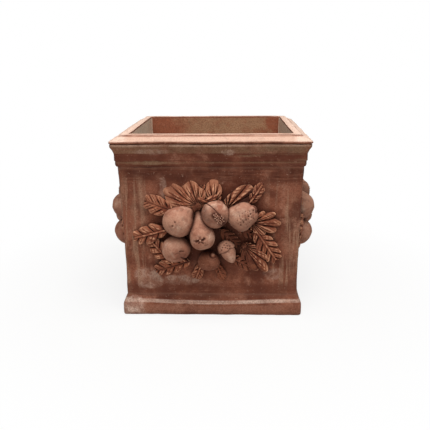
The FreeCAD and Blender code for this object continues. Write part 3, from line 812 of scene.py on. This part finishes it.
def packed(middle: Spot, reach: Spot, turn: float, pitch: float) -> tuple[Spot, ...]:
    """Pack spots closely in an oval.

    Args:
        middle: The oval's middle, across and up.
        reach: Its half sizes.
        turn: The turn of its long axis, in degrees.
        pitch: How far apart the spots lie.

    Returns:
        The spots.
    """
    spots = []
    swing = Matrix.Rotation(math.radians(turn), 2)
    for row in range(-9, 10):
        for step in range(-9, 10):
            shake = Vector((noise.noise(Vector((row, step, 0.5))), noise.noise(Vector((step, row, 3.5)))))
            spot = Vector(((step + 0.5 * (row % 2)) * pitch, row * pitch * 0.87)) + shake * 0.25 * pitch
            if (spot.x / reach[0]) ** 2 + (spot.y / reach[1]) ** 2 <= 1:
                spots.append(tuple(swing @ spot + Vector(middle)))
    return tuple(spots)


def oval_outline(radius: float, blossom: float, stem: float, full: float = 2.15) -> tuple[Spot, ...]:
    """Draw the outline of a fruit that is round at both ends.

    Args:
        radius: The radius of its girth.
        blossom: The length of its blossom end.
        stem: The length of its stem end.
        full: How full its shoulders are, 2 for an ellipse.

    Returns:
        Radius and height of the outline's points, blossom first.
    """
    points = []
    for step in range(-8, 9):
        angle = math.radians(90 * step / 8)
        reach = math.copysign(abs(math.sin(angle)) ** (2 / full), step)
        points.append((radius * max(0.0, math.cos(angle)) ** (2 / full), reach * (stem if step > 0 else blossom)))
    return tuple(points)


@dataclass
class Fruit:
    """A pressed fruit: its outline is turned, leant on the wall and worked over with strokes.

    Attributes:
        name: The fruit, as its nodes start.
        outline: Radius and height of the outline's points, from the blossom to the stem.
        across: Where its girth's middle lies along the wall.
        up: How high that is above the relief's middle.
        proud: How far it stands out of the wall face.
        lean: The swing of its blossom end to the left, in degrees.
        nod: The swing of its blossom end out of the wall, in degrees.
        strokes: The marks on it.
        lumps: How uneven it is.
        rings: How many rings of faces it has.
        ribs: How many faces there are round it.
        clay: Its finish.
    """

    name: str
    outline: tuple[Spot, ...]
    across: float
    up: float
    proud: float
    lean: float
    nod: float
    strokes: tuple[Stroke, ...]
    lumps: float = 1.2
    rings: int = 60
    ribs: int = 84
    clay: Clay = FRUIT_CLAY

    def sampled(self) -> list[Vector]:
        """Draw a smooth line through the outline and divide it evenly.

        Returns:
            One spot for each ring, poles included, from the stem to the blossom.
        """
        spots = [Vector(spot) for spot in self.outline]
        spots = [Vector((-spots[1].x, spots[1].y)), *spots, Vector((-spots[-2].x, spots[-2].y))]
        fine = []
        for one, two, three, four in zip(spots, spots[1:], spots[2:], spots[3:]):
            for step in range(12):
                share = step / 12
                fine.append(
                    0.5 * (2 * two + (three - one) * share
                           + (2 * one - 5 * two + 4 * three - four) * share ** 2
                           + (3 * two - one - 3 * three + four) * share ** 3)
                )
        fine.append(spots[-2])
        lengths = [0.0]
        for start, end in zip(fine, fine[1:]):
            lengths.append(lengths[-1] + (end - start).length)
        rings = []
        place = 0
        for ring in range(self.rings + 1):
            goal = lengths[-1] * ring / self.rings
            while place < len(fine) - 2 and lengths[place + 1] < goal:
                place += 1
            stretch = (goal - lengths[place]) / (lengths[place + 1] - lengths[place])
            rings.append(fine[place].lerp(fine[place + 1], stretch))
        return rings[::-1]

    @property
    def placement(self) -> Matrix:
        """Give the fruit's place on the front wall."""
        spot = Vector((self.across, -WALL_FACE - self.proud, RELIEF_LEVEL + self.up)) * MM
        swing = Matrix.Rotation(math.radians(self.lean), 4, "Y") @ Matrix.Rotation(math.radians(-self.nod), 4, "X")
        return Matrix.Translation(spot) @ swing

    def turned(self) -> Piece:
        """Turn the outline into a ball of clay and lean it on the wall.

        Returns:
            The mesh object, cut off behind the wall face.
        """
        sphere = bpy.ops.mesh.primitive_uv_sphere_add
        piece = primitive(sphere, self.name, segments=self.ribs, ring_count=self.rings, radius=1)
        rings = self.sampled()
        for point in piece.data.vertices:
            ring = round(math.acos(max(-1.0, min(1.0, point.co.z))) / math.pi * self.rings)
            girth = math.hypot(point.co.x, point.co.y)
            radius, height = rings[ring]
            share = max(0.0, radius) * MM / girth if girth > 1e-4 else 0.0
            point.co = (point.co.x * share, point.co.y * share, height * MM)
        piece.data.transform(self.placement)
        back = Vector((0, -WALL_FACE + LUTED_DEPTH, 0)) * MM
        with editing(piece):
            take_all()
            bpy.ops.mesh.bisect(plane_co=back, plane_no=(0, 1, 0), clear_outer=True, use_fill=True)
        return piece

    def marked(self, face: bmesh.types.BMFace) -> bool:
        """Tell whether a face lies by a stroke."""
        spot = seen(face.calc_center_median())
        return face.normal.y < 0.1 and any(mark.distance(spot) < 3 + 1.6 * mark.width for mark in self.strokes)

    def worked(self, piece: Piece) -> None:
        """Press the strokes, and the unevenness of the hand, into the fruit, and write the painted shade in pressed
        strokes and the painted highlight on raised ones.

        Args:
            piece: The turned fruit.
        """
        moves, shade_values = [], []
        for point in piece.data.vertices:
            place = point.co / MM
            rough = noise.noise(place / 26) * self.lumps + noise.noise(place / 7) * 0.25 * self.lumps
            dark = wear_and_highlight = 0.0
            if point.normal.y < 0.15:
                spot = seen(point.co)
                for stroke in self.strokes:
                    share = hump(stroke.distance(spot), stroke.width)
                    rough -= stroke.depth * share
                    # Painted shade in the bottom of a pressed stroke; painted highlight, with rubbing, on the top of a
                    # raised one.
                    if stroke.depth > 0:
                        dark = max(dark, stroke.painted_shading * min(1.0, SHADE_SPREAD * share))
                    else:
                        wear_and_highlight = max(wear_and_highlight, share * stroke.painted_shading * min(1.0, -stroke.depth / 2))
            moves.append(point.co + point.normal * rough * MM)
            shade_values.append(dark * (1 - wear_and_highlight) - CREST_WEIGHT * wear_and_highlight)
        for point, place in zip(piece.data.vertices, moves):
            point.co = place
        painted_shading(piece, shade_values)

    def crown(self, piece: Piece) -> None:
        """Lute on what stands on the fruit. A plain fruit has nothing more."""

    def finish(self) -> None:
        """Model and dress the fruit on all four sides, with finer faces about its strokes."""
        piece = self.turned()
        with editing(piece):
            pick(piece, "faces", self.marked)
            bpy.ops.mesh.subdivide(number_cuts=1, quadcorner="INNERVERT")
        self.worked(piece)
        self.crown(piece)
        soften(piece, 50)
        settle_round(piece, self.name, self.clay)


@dataclass
class BuddedFruit(Fruit):
    """A fruit that carries a small ball of clay.

    Attributes:
        bud: Across, up from the relief's middle, and proud of the wall face.
        bud_radius: Its radius.
    """

    bud: Triple = (0.0, 0.0, 0.0)
    bud_radius: float = 8.0

    def crown(self, piece: Piece) -> None:
        """Model the bud, pinched and uneven, and lute it on.

        Args:
            piece: The fruit.
        """
        ball = Fruit(
            self.name + "_bud", oval_outline(self.bud_radius, self.bud_radius, self.bud_radius), *self.bud,
            self.lean, self.nod, self.strokes, lumps=1.4, rings=22, ribs=30,
        )
        small = ball.turned()
        ball.worked(small)
        choose(piece, small)
        bpy.ops.object.join()


PEAR = Fruit(
    "pear",
    (
        (0, -28), (10, -27), (19, -22.5), (25.5, -14.5), (28.6, -6), (29, 0), (28.2, 8), (25.6, 17), (21.6, 26),
        (17.2, 35), (13.4, 44), (10.8, 51), (9.8, 57), (8.4, 61.5), (5.4, 65), (0, 66),
    ),
    -19.5, -22, 26, -10, 22,
    (
        # A broad shallow dent with painted shade about the blossom end.
        Stroke(((-25, 190),), 11, 1.2, 0.20),
        Stroke(((-29, 190.5), (-35.5, 188.5)), 2.8, 4.0, 1.0),
        Stroke(((-21, 191.5), (-15, 195.5)), 2.8, 4.0, 1.0),
        Stroke(((-26.5, 187.5), (-29, 184)), 1.6, 2.2),
        Stroke(((-23, 187), (-18, 184.5)), 1.8, 2.4),
        Stroke(((-25.5, 193.5), (-26.5, 198)), 1.4, 1.6, 0.6),
        Stroke(((-25.5, 190.5),), 2.2, -2.2),
        *dots(((-31, 194.5), (-20, 197)), 1.6, -1.2),
        Stroke(((-14, 178.5), (-7, 181)), 1.5, 1.2, 0.5),
    ),
)
QUINCE = Fruit(
    "quince",
    (
        (0, -34), (13, -32.6), (24, -27), (32, -17.5), (36, -7), (36.5, 0), (35.2, 8), (31.6, 16.5), (26.2, 25),
        (20.4, 32.6), (15, 38.6), (9, 42.6), (0, 44),
    ),
    -75, 12, 13, 38, 22,
    (
        *dots(((-82, 234), (-88, 225)), 2.0, 1.8),
        Stroke(((-85, 222),), 2.0, -1.0),
        Stroke(((-46, 262),), 11, -4.5, 0.0),
    ),
)
POMEGRANATE = Fruit(
    "pomegranate",
    oval_outline(32, 31, 33.5),
    10.5, 31, 18, -40, 50,
    (
        Stroke(((-14, 281), (0, 272), (10, 262), (19, 252), (31, 239)), 1.1, 1.9, 0.95),
        Stroke(((9, 249), (18, 242), (27, 234)), 10.5, 2.4, 1.0),
        *dots(packed((18, 241.5), (15, 9), -42, 5.0), 1.5, -3.0),
        # A broad shallow stroke that paints shade on the lower left.
        Stroke(((-20, 268), (-14, 252), (-2, 240)), 11, 0.3, 0.50),
    ),
    rings=84,
    ribs=116,
)
CITRON = BuddedFruit(
    "citron",
    oval_outline(32, 35, 33, 2.4),
    71.5, 23.5, 14, -130, 12,
    (
        *dots(packed((79, 244), (26, 15), 38, 7.4), 1.4, 1.3, 0.75),
        *dots(((91, 254), (86, 248), (80, 240), (74, 235), (97, 262), (68, 228)), 2.0, 2.1),
        Stroke(((45, 262),), 12, -5, 0.0),
        # Broad dents and strokes that paint shade low on the citron and over its pits.
        Stroke(((101, 224),), 13, 5, 0.30),
        Stroke(((48, 220),), 13, 4, 0.35),
        Stroke(((60, 212), (80, 206)), 9, 0.3, 0.40),
        Stroke(((82, 238),), 24, 0.2, 0.20),
        Stroke(((90, 279), (98, 274), (103, 267), (103, 257)), 1.6, 1.8),
        *dots(((72, 244), (90, 241), (81, 255), (93, 268), (64, 238)), 3.2, -1.2, 0.5),
    ),
    lumps=2.0,
    bud=(93.5, 41.5, 19.5),
    bud_radius=11.0,
)
APPLE = Fruit(
    "apple",
    oval_outline(34, 28, 31),
    -80.5, -54, 13, -49, 50,
    (
        # A broad shallow dent with painted shade about the blossom end.
        Stroke(((-69, 155),), 11, 1.8, 0.26),
        Stroke(((-72, 164), (-64, 164.5)), 2.0, 2.3, 0.7),
        Stroke(((-68, 148), (-61, 145)), 2.4, 2.8),
        Stroke(((-93, 163), (-90, 156), (-86, 151)), 3.0, -0.7),
        Stroke(((-82, 158), (-76, 160), (-72, 157)), 1.5, 1.2, 0.4),
    ),
)
ACORN = Fruit(
    "acorn",
    (
        (0, -32), (3, -31.3), (8, -27), (13, -19), (16.4, -10), (17.4, -2), (18.4, 0.2), (20.3, 1.2), (20.4, 6),
        (18.6, 12.5), (15, 18.5), (10, 22.8), (5, 24.6), (0, 25),
    ),
    37, -57, 13, -28, 12,
    (
        *dots(
            ((26, 174), (33, 174), (30, 180), (38, 178), (43, 178), (38, 172), (24, 168), (35, 184), (43, 172)),
            1.6, 1.5,
        ),
        Stroke(((21, 159), (30, 160.5), (38, 165), (46, 173)), 1.3, 1.1, 0.50),
        Stroke(((44, 150), (48, 143)), 4.0, -0.8, 0.8),
    ),
)
FIG = BuddedFruit(
    "fig",
    oval_outline(26.5, 22, 24),
    -5.5, -86, 9, 0, 20,
    (
        Stroke(
            ((-3, 156), (-1, 161), (5, 164), (11, 161), (13, 156), (10, 150), (4, 148), (-1, 151), (-3, 156)),
            1.8, 1.4,
        ),
        Stroke(((4, 156.5),), 3.6, -1.6),
        Stroke(((8, 153),), 2.4, 0.8, 0.5),
    ),
    clay=FIG_CLAY,
    bud=(5.0, -70, 24.5),
)
FRUIT = (PEAR, QUINCE, POMEGRANATE, CITRON, APPLE, ACORN, FIG)


@dataclass
class Leaf:
    """A leaf of pressed clay with lobes along both sides of its midrib, from its base towards its tip.

    Attributes:
        across: Where its base lies along the wall.
        up: How high that is above the relief's middle.
        heading: The way that it points, in degrees from the right.
        length: Its length.
        width: Its width at its broadest.
        lobes: How many lobes a side has.
        notch: How deep the notches between them are, as a share of the half width.
        base: How far its base stands out of the wall.
        tip: How far its tip does.
        rib: How high its midrib stands, or how deep it is pressed where negative.
        tilt: How far its left edge is raised, and its right edge lowered.
        crevice: How deep the folds between the lobes run.
        sweep: How far the lobes lean towards the tip at the base, in degrees.
        overall_shade: How much painted shade lies on it all over, 0 to 1.
        smooth: How plain its tips are, 0 to 1.
        shaded: How much painted shade lies on its right half, 0 to 1.
        rows: How many faces there are from base to tip.
        files: How many faces there are across.
    """

    across: float
    up: float
    heading: float
    length: float
    width: float
    lobes: float = 4.0
    notch: float = 0.30
    base: float = 17.0
    tip: float = 5.0
    rib: float = 1.6
    tilt: float = 0.0
    crevice: float = 4.5
    sweep: float = 34.0
    overall_shade: float = 0.0
    smooth: float = 0.3
    shaded: float = 0.0
    rows: int = 92
    files: int = 36

    def uneven(self, spot: float) -> float:
        """Give the leaf's own unevenness at a place, -1 to 1."""
        return noise.noise(Vector((spot, self.across * 0.37, self.up * 0.53)))

    def swept(self, along: float) -> float:
        """Give the lean of the lobes towards the tip at a place on the midrib, in radians."""
        return math.radians(self.sweep + 22 * along)

    def lobe(self, along: float, side: float) -> tuple[float, float]:
        """Tell which lobe a cross line of the leaf runs in.

        Args:
            along: The place on the midrib, 0 to 1.
            side: The place across, -1 to 1.

        Returns:
            The count of lobes up to here, and how far out of the folds it is, 0 to 1.
        """
        half = math.copysign(0.22, side)
        phase = along * (self.lobes + 0.35) + half + 0.30 * self.uneven(2.6 * along + 9 * half)
        return phase, abs(math.sin(math.pi * phase))

    def flat(self, along: float, side: float) -> Triple:
        """Give a point of the flat leaf before it is brought to size.

        Args:
            along: The place on the midrib, 0 to 1.
            side: The place across, -1 to 1.

        Returns:
            The place along and across, and how full the leaf is there.
        """
        off = abs(side)
        phase, swell = self.lobe(along, side)
        full = max(0.0, math.sin(math.pi * min(1.0, 0.08 + 0.92 * along ** 0.85))) ** 0.6
        half = self.width / 2 * full * (1 - self.notch * (1 - swell ** 0.8))
        half *= 1 + 0.25 * self.uneven(0.9 * phase + math.copysign(3, side))
        slant = math.tan(self.swept(along))
        return self.length * along + off * half * slant, math.copysign(off * half, side), full

    @cached_property
    def fit(self) -> Spot:
        """Give the shares that bring the flat leaf to its length and width."""
        edge = [self.flat(step / 80, side) for step in range(81) for side in (-1.0, 1.0)]
        return self.length / max(spot[0] for spot in edge), self.width / 2 / max(abs(spot[1]) for spot in edge)

    def form(self, row: float, file: float) -> tuple[Vector, float]:
        """Give the shape of the leaf at one point of its grid.

        Args:
            row: The place in the grid from base to tip, -1 to 1.
            file: The place in the grid across, -1 to 1.

        Returns:
            The point, along, across and out of the wall, and its painted shade, or painted highlight where negative.
        """
        along = (row + 1) / 2
        side = math.copysign(abs(file) ** 1.2, file)
        off = abs(side)
        phase, swell = self.lobe(along, side)
        x, y, full = self.flat(along, side)
        x, y = x * self.fit[0], y * self.fit[1]
        plain = self.smooth * ease(0.45, 0.80, max(along, off))
        pitch = self.length / self.lobes * math.cos(self.swept(along))
        fold = hump(abs(phase - round(phase)) * pitch, 1.1 + 0.6 * off) * ease(0.04, 0.35, off)
        vein = hump((phase % 1.0 - 0.5) * pitch, 0.9) * ease(0.1, 0.3, off) * ease(1.0, 0.7, off)
        middle = hump(y, 1.7) * (1 - 0.5 * along)
        beside = hump(abs(y) - 3.2, 1.2) * (1 - 0.6 * along) if self.rib > 0 else 0.0
        share = x / self.length
        out = self.base + (self.tip - self.base) * share + ARCH * math.sin(math.pi * share)
        out += self.rib * middle - 1.2 * beside + 1.2 * self.uneven(x / 11 + y / 15)
        fold *= 1 - 0.85 * plain
        swelling = self.tilt * math.copysign(off, side) * full - 2.6 * off ** 4
        swelling += 1.5 * (swell - 0.6) * ease(0.1, 0.6, off) - self.crevice * fold - 0.7 * vein
        out += swelling * min(1.0, 3 * full)
        # Painted shade in the folds, veins and grooves; painted highlight on lobe crests and a raised midrib.
        dark = max(fold, 0.45 * vein, 0.8 * beside, 0.9 * middle if self.rib < 0 else 0.0)
        crest = max(ease(0.55, 0.95, swell) * ease(0.15, 0.5, off), middle if self.rib > 0 else 0.0)
        return Vector((x, y, max(out, THINNEST))), self.shade(dark, crest, x, y, plain)

    def shade(self, dark: float, crest: float, x: float, y: float, plain: float) -> float:
        """Weigh painted shade in crevices against painted highlight on crests, which are rubbed pale here and there
        only.

        Args:
            dark: How deep in a crevice the point lies, 0 to 1.
            crest: How high on a crest it lies, 0 to 1.
            x: The place along the leaf.
            y: The place across it.
            plain: How plain the leaf is there, 0 to 1.

        Returns:
            1 for painted shade deep in a crevice, -1 for painted highlight on a rubbed crest.
        """
        wear_and_highlight = ease(-0.25, 0.35, self.uneven(x / 6 + y / 4) + 0.2 * self.uneven(x / 2))
        bare = self.overall_shade if self.overall_shade else -crest * wear_and_highlight * (1 - plain) - 0.22 * plain
        return min(1.0, max(dark, self.overall_shade)) if dark > 0.12 else bare

    @property
    def placement(self) -> Matrix:
        """Give the leaf's place on the front wall: its own Z runs out of the wall."""
        turn = math.radians(self.heading)
        along = Vector((math.cos(turn), 0, math.sin(turn)))
        aside = Vector((-math.sin(turn), 0, math.cos(turn)))
        laid = Matrix((along, aside, Vector((0, -1, 0)))).transposed().to_4x4()
        return Matrix.Translation(Vector((self.across, -WALL_FACE, RELIEF_LEVEL + self.up)) * MM) @ laid

    def build(self) -> Piece:
        """Model the leaf: a grid shaped by its form, with an edge that turns in to the wall.

        Returns:
            The finished mesh object, in its place.
        """
        grid = bpy.ops.mesh.primitive_grid_add
        piece = primitive(grid, "leaf", x_subdivisions=self.rows, y_subdivisions=self.files, size=2)
        forms = [self.form(point.co.x, point.co.y) for point in piece.data.vertices]
        for point, (place, _) in zip(piece.data.vertices, forms):
            point.co = place * MM
        # Write each point's painted shade and highlight.
        painted_shading(piece, [shade for _, shade in forms])
        with editing(piece):
            take_all()
            bpy.ops.mesh.remove_doubles(threshold=0.03 * MM)
            take_all()
            bpy.ops.mesh.region_to_loop()
            for share, height, floor in ((0.97, 0.45, 0), (0.90, 0, -LUTED_DEPTH)):
                bpy.ops.mesh.extrude_edges_move()
                centre = (self.length * LEAF_MIDDLE * MM, 0, floor * MM)
                bpy.ops.transform.resize(value=(share, share, height), center_override=centre)
            bpy.ops.mesh.edge_face_add()
            face_out()
        piece.data.transform(self.placement)
        return piece


@dataclass
class FanLeaf(Leaf):
    """A leaf whose veins all spread from its base, each to a rounded finger of the blade.

    Attributes:
        fingers: How many fingers there would be in a full turn.
        behind: How far the blade reaches behind the base of its veins, as a share of its length.
    """

    fingers: float = 9.0
    behind: float = 0.14
    rows: int = 76
    files: int = 116

    def reach(self, angle: float) -> float:
        """Measure how far the edge of the blade, an oval, lies from the base of the veins.

        Args:
            angle: The way from the midrib, in radians.

        Returns:
            The distance, before fingers are cut.
        """
        middle = self.length * (1 - self.behind) / 2
        half = self.length * (1 + self.behind) / 2
        square = (math.cos(angle) / half) ** 2 + (2 * math.sin(angle) / self.width) ** 2
        slope = middle * math.cos(angle) / half ** 2
        return (slope + math.sqrt(slope ** 2 + square * (1 - (middle / half) ** 2))) / square

    def form(self, row: float, file: float) -> tuple[Vector, float]:
        """Give the shape of the fan at one point of its grid, whose rings run round the base of the veins.

        Args:
            row: The place in the grid from base to tip, -1 to 1.
            file: The place in the grid across, -1 to 1.

        Returns:
            The point, along, across and out of the wall, and its painted shade, or painted highlight where negative.
        """
        ring = max(abs(row), abs(file))
        angle = math.atan2(file, row)
        count = angle * self.fingers / math.tau
        count += 0.22 * self.uneven(1.3 * count)
        cut = abs(math.cos(math.pi * count))
        edge = self.reach(angle) * (1 - self.notch * (1 - cut ** 0.8) * ease(math.pi, 1.6, abs(angle)))
        edge *= 1 + 0.16 * self.uneven(1.1 * count + 5)
        away = ring * edge
        x, y = away * math.cos(angle), away * math.sin(angle)
        pitch = away * math.tau / self.fingers
        plain = self.smooth * ease(0.55, 0.90, ring)
        fine = ease(1.6, 3.4, pitch)
        fold = hump((abs(count - round(count)) - 0.5) * pitch, 0.7 + 0.8 * ring) * fine
        fold *= (1 - 0.85 * plain) * ease(-0.55, 0.05, self.uneven(1.7 * math.floor(count + 0.5) + 2.4 * ring))
        vein = hump((count - round(count)) * pitch, 1.0) * fine * ease(1.0, 0.75, ring) * (1 - plain)
        share = max(0.0, x / self.length)
        out = self.base + (self.tip - self.base) * share + ARCH * math.sin(math.pi * min(1.0, share))
        out += self.tilt * y / (self.width / 2) - 2.4 * ring ** 4
        out += 1.6 * (cut - 0.6) * ease(0.1, 0.6, ring) * (1 - 0.7 * plain) + 1.2 * self.uneven(x / 11 + y / 15)
        out += self.rib * vein - self.crevice * fold
        # Painted shade in folds and pressed veins, on the right half as far as shaded says, and about the base where
        # the veins meet; painted highlight on the fingers and raised veins.
        dark = max(fold, 0.85 * vein if self.rib < 0 else 0.0, self.shaded * ease(-1.0, -5.0, y), 0.5 * (1 - fine))
        crest = max(ease(0.5, 0.95, cut) * fine, vein if self.rib > 0 else 0.0)
        return Vector((x, y, max(out, THINNEST))), self.shade(dark, crest, x, y, plain)


@dataclass
class Spray:
    """The leaves that lie together on one side of the fruit.

    Attributes:
        name: The spray, as its nodes start.
        leaves: Its leaves.
    """

    name: str
    leaves: tuple[Leaf, ...]

    def finish(self) -> None:
        """Model the leaves, join them and dress the spray on all four sides."""
        blades = [leaf.build() for leaf in self.leaves]
        choose(*blades)
        bpy.ops.object.join()
        soften(blades[0], 60)
        settle_round(blades[0], self.name, LEAF_CLAY)


SPRAYS = (
    Spray(
        "leaves_top",
        (
            FanLeaf(-34, 46, 152, 87, 56, notch=0.03, rib=-1.6, tilt=3, tip=3, fingers=19, behind=0.06, smooth=0.7),
            FanLeaf(-28, 50, 123, 62, 58, notch=0.02, rib=-1.6, base=19, tip=3, fingers=17, tilt=-2, smooth=0.7),
            Leaf(-8, 58, 108, 40, 22, lobes=3, notch=0.2, base=14, rib=-1.2),
            FanLeaf(6, 57, 88, 54, 36, notch=0.10, rib=-1.8, base=17, tip=3, fingers=12, smooth=0.9, crevice=3.4),
            FanLeaf(38, 47, 39, 74, 44, notch=0.05, rib=1.8, tilt=5, base=19, tip=12, fingers=15, shaded=0.8),
            Leaf(84, 50, 55, 60, 26, notch=0.12, base=12, smooth=1.0, crevice=2.5),
            Leaf(-8, 60, 158, 24, 10, lobes=1, notch=0.05, base=21, tip=17, crevice=1.0, rib=1.2),
            Leaf(-12, 62, 22, 30, 11, lobes=1, notch=0.05, base=22, tip=20, crevice=1.0, rib=-1.2),
        ),
    ),
    Spray(
        "leaves_left",
        (
            Leaf(-78, 34, 161, 80, 44, notch=0.05, base=15, sweep=36, tilt=3, rib=-1.4, smooth=0.9),
            Leaf(-100, -6, 197, 86, 46, lobes=3, rib=2.4, sweep=26),
            Leaf(-90, -88, 135, 84, 42, notch=0.16, rib=2.2, base=14, sweep=24, tilt=-2),
        ),
    ),
    Spray(
        "leaves_right",
        (
            FanLeaf(94, 11, -2, 70, 56, notch=0.24, rib=-1.2, base=18, fingers=15, tip=8),
            Leaf(100, -4, -57, 100, 52, lobes=5, rib=2.4, base=15),
            FanLeaf(76, -46, -50, 88, 50, notch=0.20, rib=-1.4, base=14, fingers=15, behind=0.06, shaded=0.4),
            # These two leaves in the gap beside the pear carry painted shade all over.
            Leaf(56, 2, -30, 58, 28, notch=0.20, rib=1.2, base=11, tip=7, overall_shade=0.45),
            Leaf(20, -8, -42, 60, 30, notch=0.20, rib=-1.2, base=10, tip=6, overall_shade=0.6),
        ),
    ),
    Spray(
        "leaves_bottom",
        (
            Leaf(-50, -84, 199, 88, 42, rib=-2.2, base=14, sweep=28),
            Leaf(-22, -90, 250, 46, 26, lobes=3, notch=0.1, base=8, tip=3, rib=1.8, crevice=2, smooth=1.0),
            # Painted shade over these lower leaves.
            Leaf(12, -94, 294, 46, 26, lobes=3, notch=0.1, base=8, tip=3, overall_shade=0.2, crevice=2, smooth=1.0),
            Leaf(46, -76, 333, 58, 30, notch=0.15, base=10, overall_shade=0.3, crevice=3.0),
        ),
    ),
)


@dataclass
class Studio:
    """The camera, the soft light and the floor, in metres.

    Attributes:
        eye: Where the camera stands.
        aim: What it looks at.
        lens: Its focal length, in millimetres.
        roll: How far it leans, in radians.
        lit: What the lamps face.
    """

    eye: Triple = (0.0451, -1.4141, 0.5967)
    aim: Triple = (0.0029, 0.0, 0.1899)
    lens: float = 45.74
    roll: float = -0.0071
    lit: Triple = (0.0, 0.0, 0.25)

    def stand(self, block: bpy.types.ID, place: Triple, aim: Triple, roll: float = 0.0) -> Piece:
        """Stand a camera or a lamp at a place, facing another.

        Args:
            block: The camera's or lamp's data, whose name it takes.
            place: Where it stands.
            aim: What it faces.
            roll: How far it leans, in radians.

        Returns:
            The new object.
        """
        item = bpy.data.objects.new(block.name, block)
        bpy.context.scene.collection.objects.link(item)
        swing = (Vector(place) - Vector(aim)).to_track_quat("Z", "Y").to_matrix().to_4x4()
        item.matrix_world = Matrix.Translation(place) @ swing @ Matrix.Rotation(roll, 4, "Z")
        return item

    def camera(self) -> None:
        """Stand the camera where the photograph was taken from."""
        lens = bpy.data.cameras.new("camera")
        lens.lens, lens.sensor_width = self.lens, 36.0
        bpy.context.scene.camera = self.stand(lens, self.eye, self.aim, self.roll)

    def floor(self) -> None:
        """Lay a plain pale floor that brightens to white away from the pot."""
        floor = primitive(bpy.ops.mesh.primitive_plane_add, "floor", size=40, location=(0, 0, -0.0002))
        desk = NodeDesk(bpy.data.materials.new("pale_floor"))
        far = desk.add("VectorMath", {0: desk.place}, operation="LENGTH").outputs["Value"]
        watched = desk.add("LightPath").outputs["Is Camera Ray"]
        matt = desk.add("BsdfDiffuse", {"Color": (236, 234, 231)}).outputs[0]
        white = desk.add("Emission", {"Color": (255, 255, 255), "Strength": 1.0}).outputs[0]
        whiter = desk.times(watched, desk.rise(far, 0.30, 0.80, 0.84, 1.0))
        desk.add("OutputMaterial", {"Surface": desk.add("MixShader", {0: whiter, 1: matt, 2: white}).outputs[0]})
        floor.data.materials.append(desk.block)

    def lamp(self, name: str, place: Triple, size: float, power: float) -> None:
        """Hang a soft square lamp that faces the relief.

        Args:
            name: The lamp's name.
            place: Where it hangs.
            size: Its side.
            power: Its power in watts.
        """
        light = bpy.data.lights.new(name, "AREA")
        light.size, light.energy = size, power
        self.stand(light, place, self.lit)

    def world(self) -> None:
        """Fill the shadows with even light and show white behind."""
        desk = NodeDesk(bpy.data.worlds.new("soft_sky"))
        bpy.context.scene.world = desk.block
        watched = desk.add("LightPath").outputs["Is Camera Ray"]
        strength = desk.add("MapRange", {"Value": watched, "To Min": 0.20, "To Max": 1.0}).outputs[0]
        sky = desk.add("Background", {"Color": (255, 255, 255), "Strength": strength})
        desk.add("OutputWorld", {"Surface": sky.outputs[0]})

    def set_up(self) -> None:
        """Make the camera, the light and the floor."""
        self.camera()
        self.world()
        self.lamp("sky_panel", (0.10, -0.60, 2.1), 1.1, 39)
        self.lamp("front_panel", (-0.8, -2.1, 1.5), 1.2, 8)
        self.floor()
        bpy.context.scene.view_settings.view_transform = "Standard"


def main() -> None:
    """Set up the studio, then build the planter from the foot up."""
    logging.basicConfig(level=logging.INFO, format="%(message)s")
    choose()
    Studio().set_up()
    for course in (FOOT, WALL, RIM):
        course.finish()
    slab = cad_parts["floor_slab"]
    slab.data.materials.clear()
    slab.data.materials.append(POT_CLAY.material())
    for part in (*FRUIT, *SPRAYS):
        part.finish()


if __name__ == "__main__":
    main()
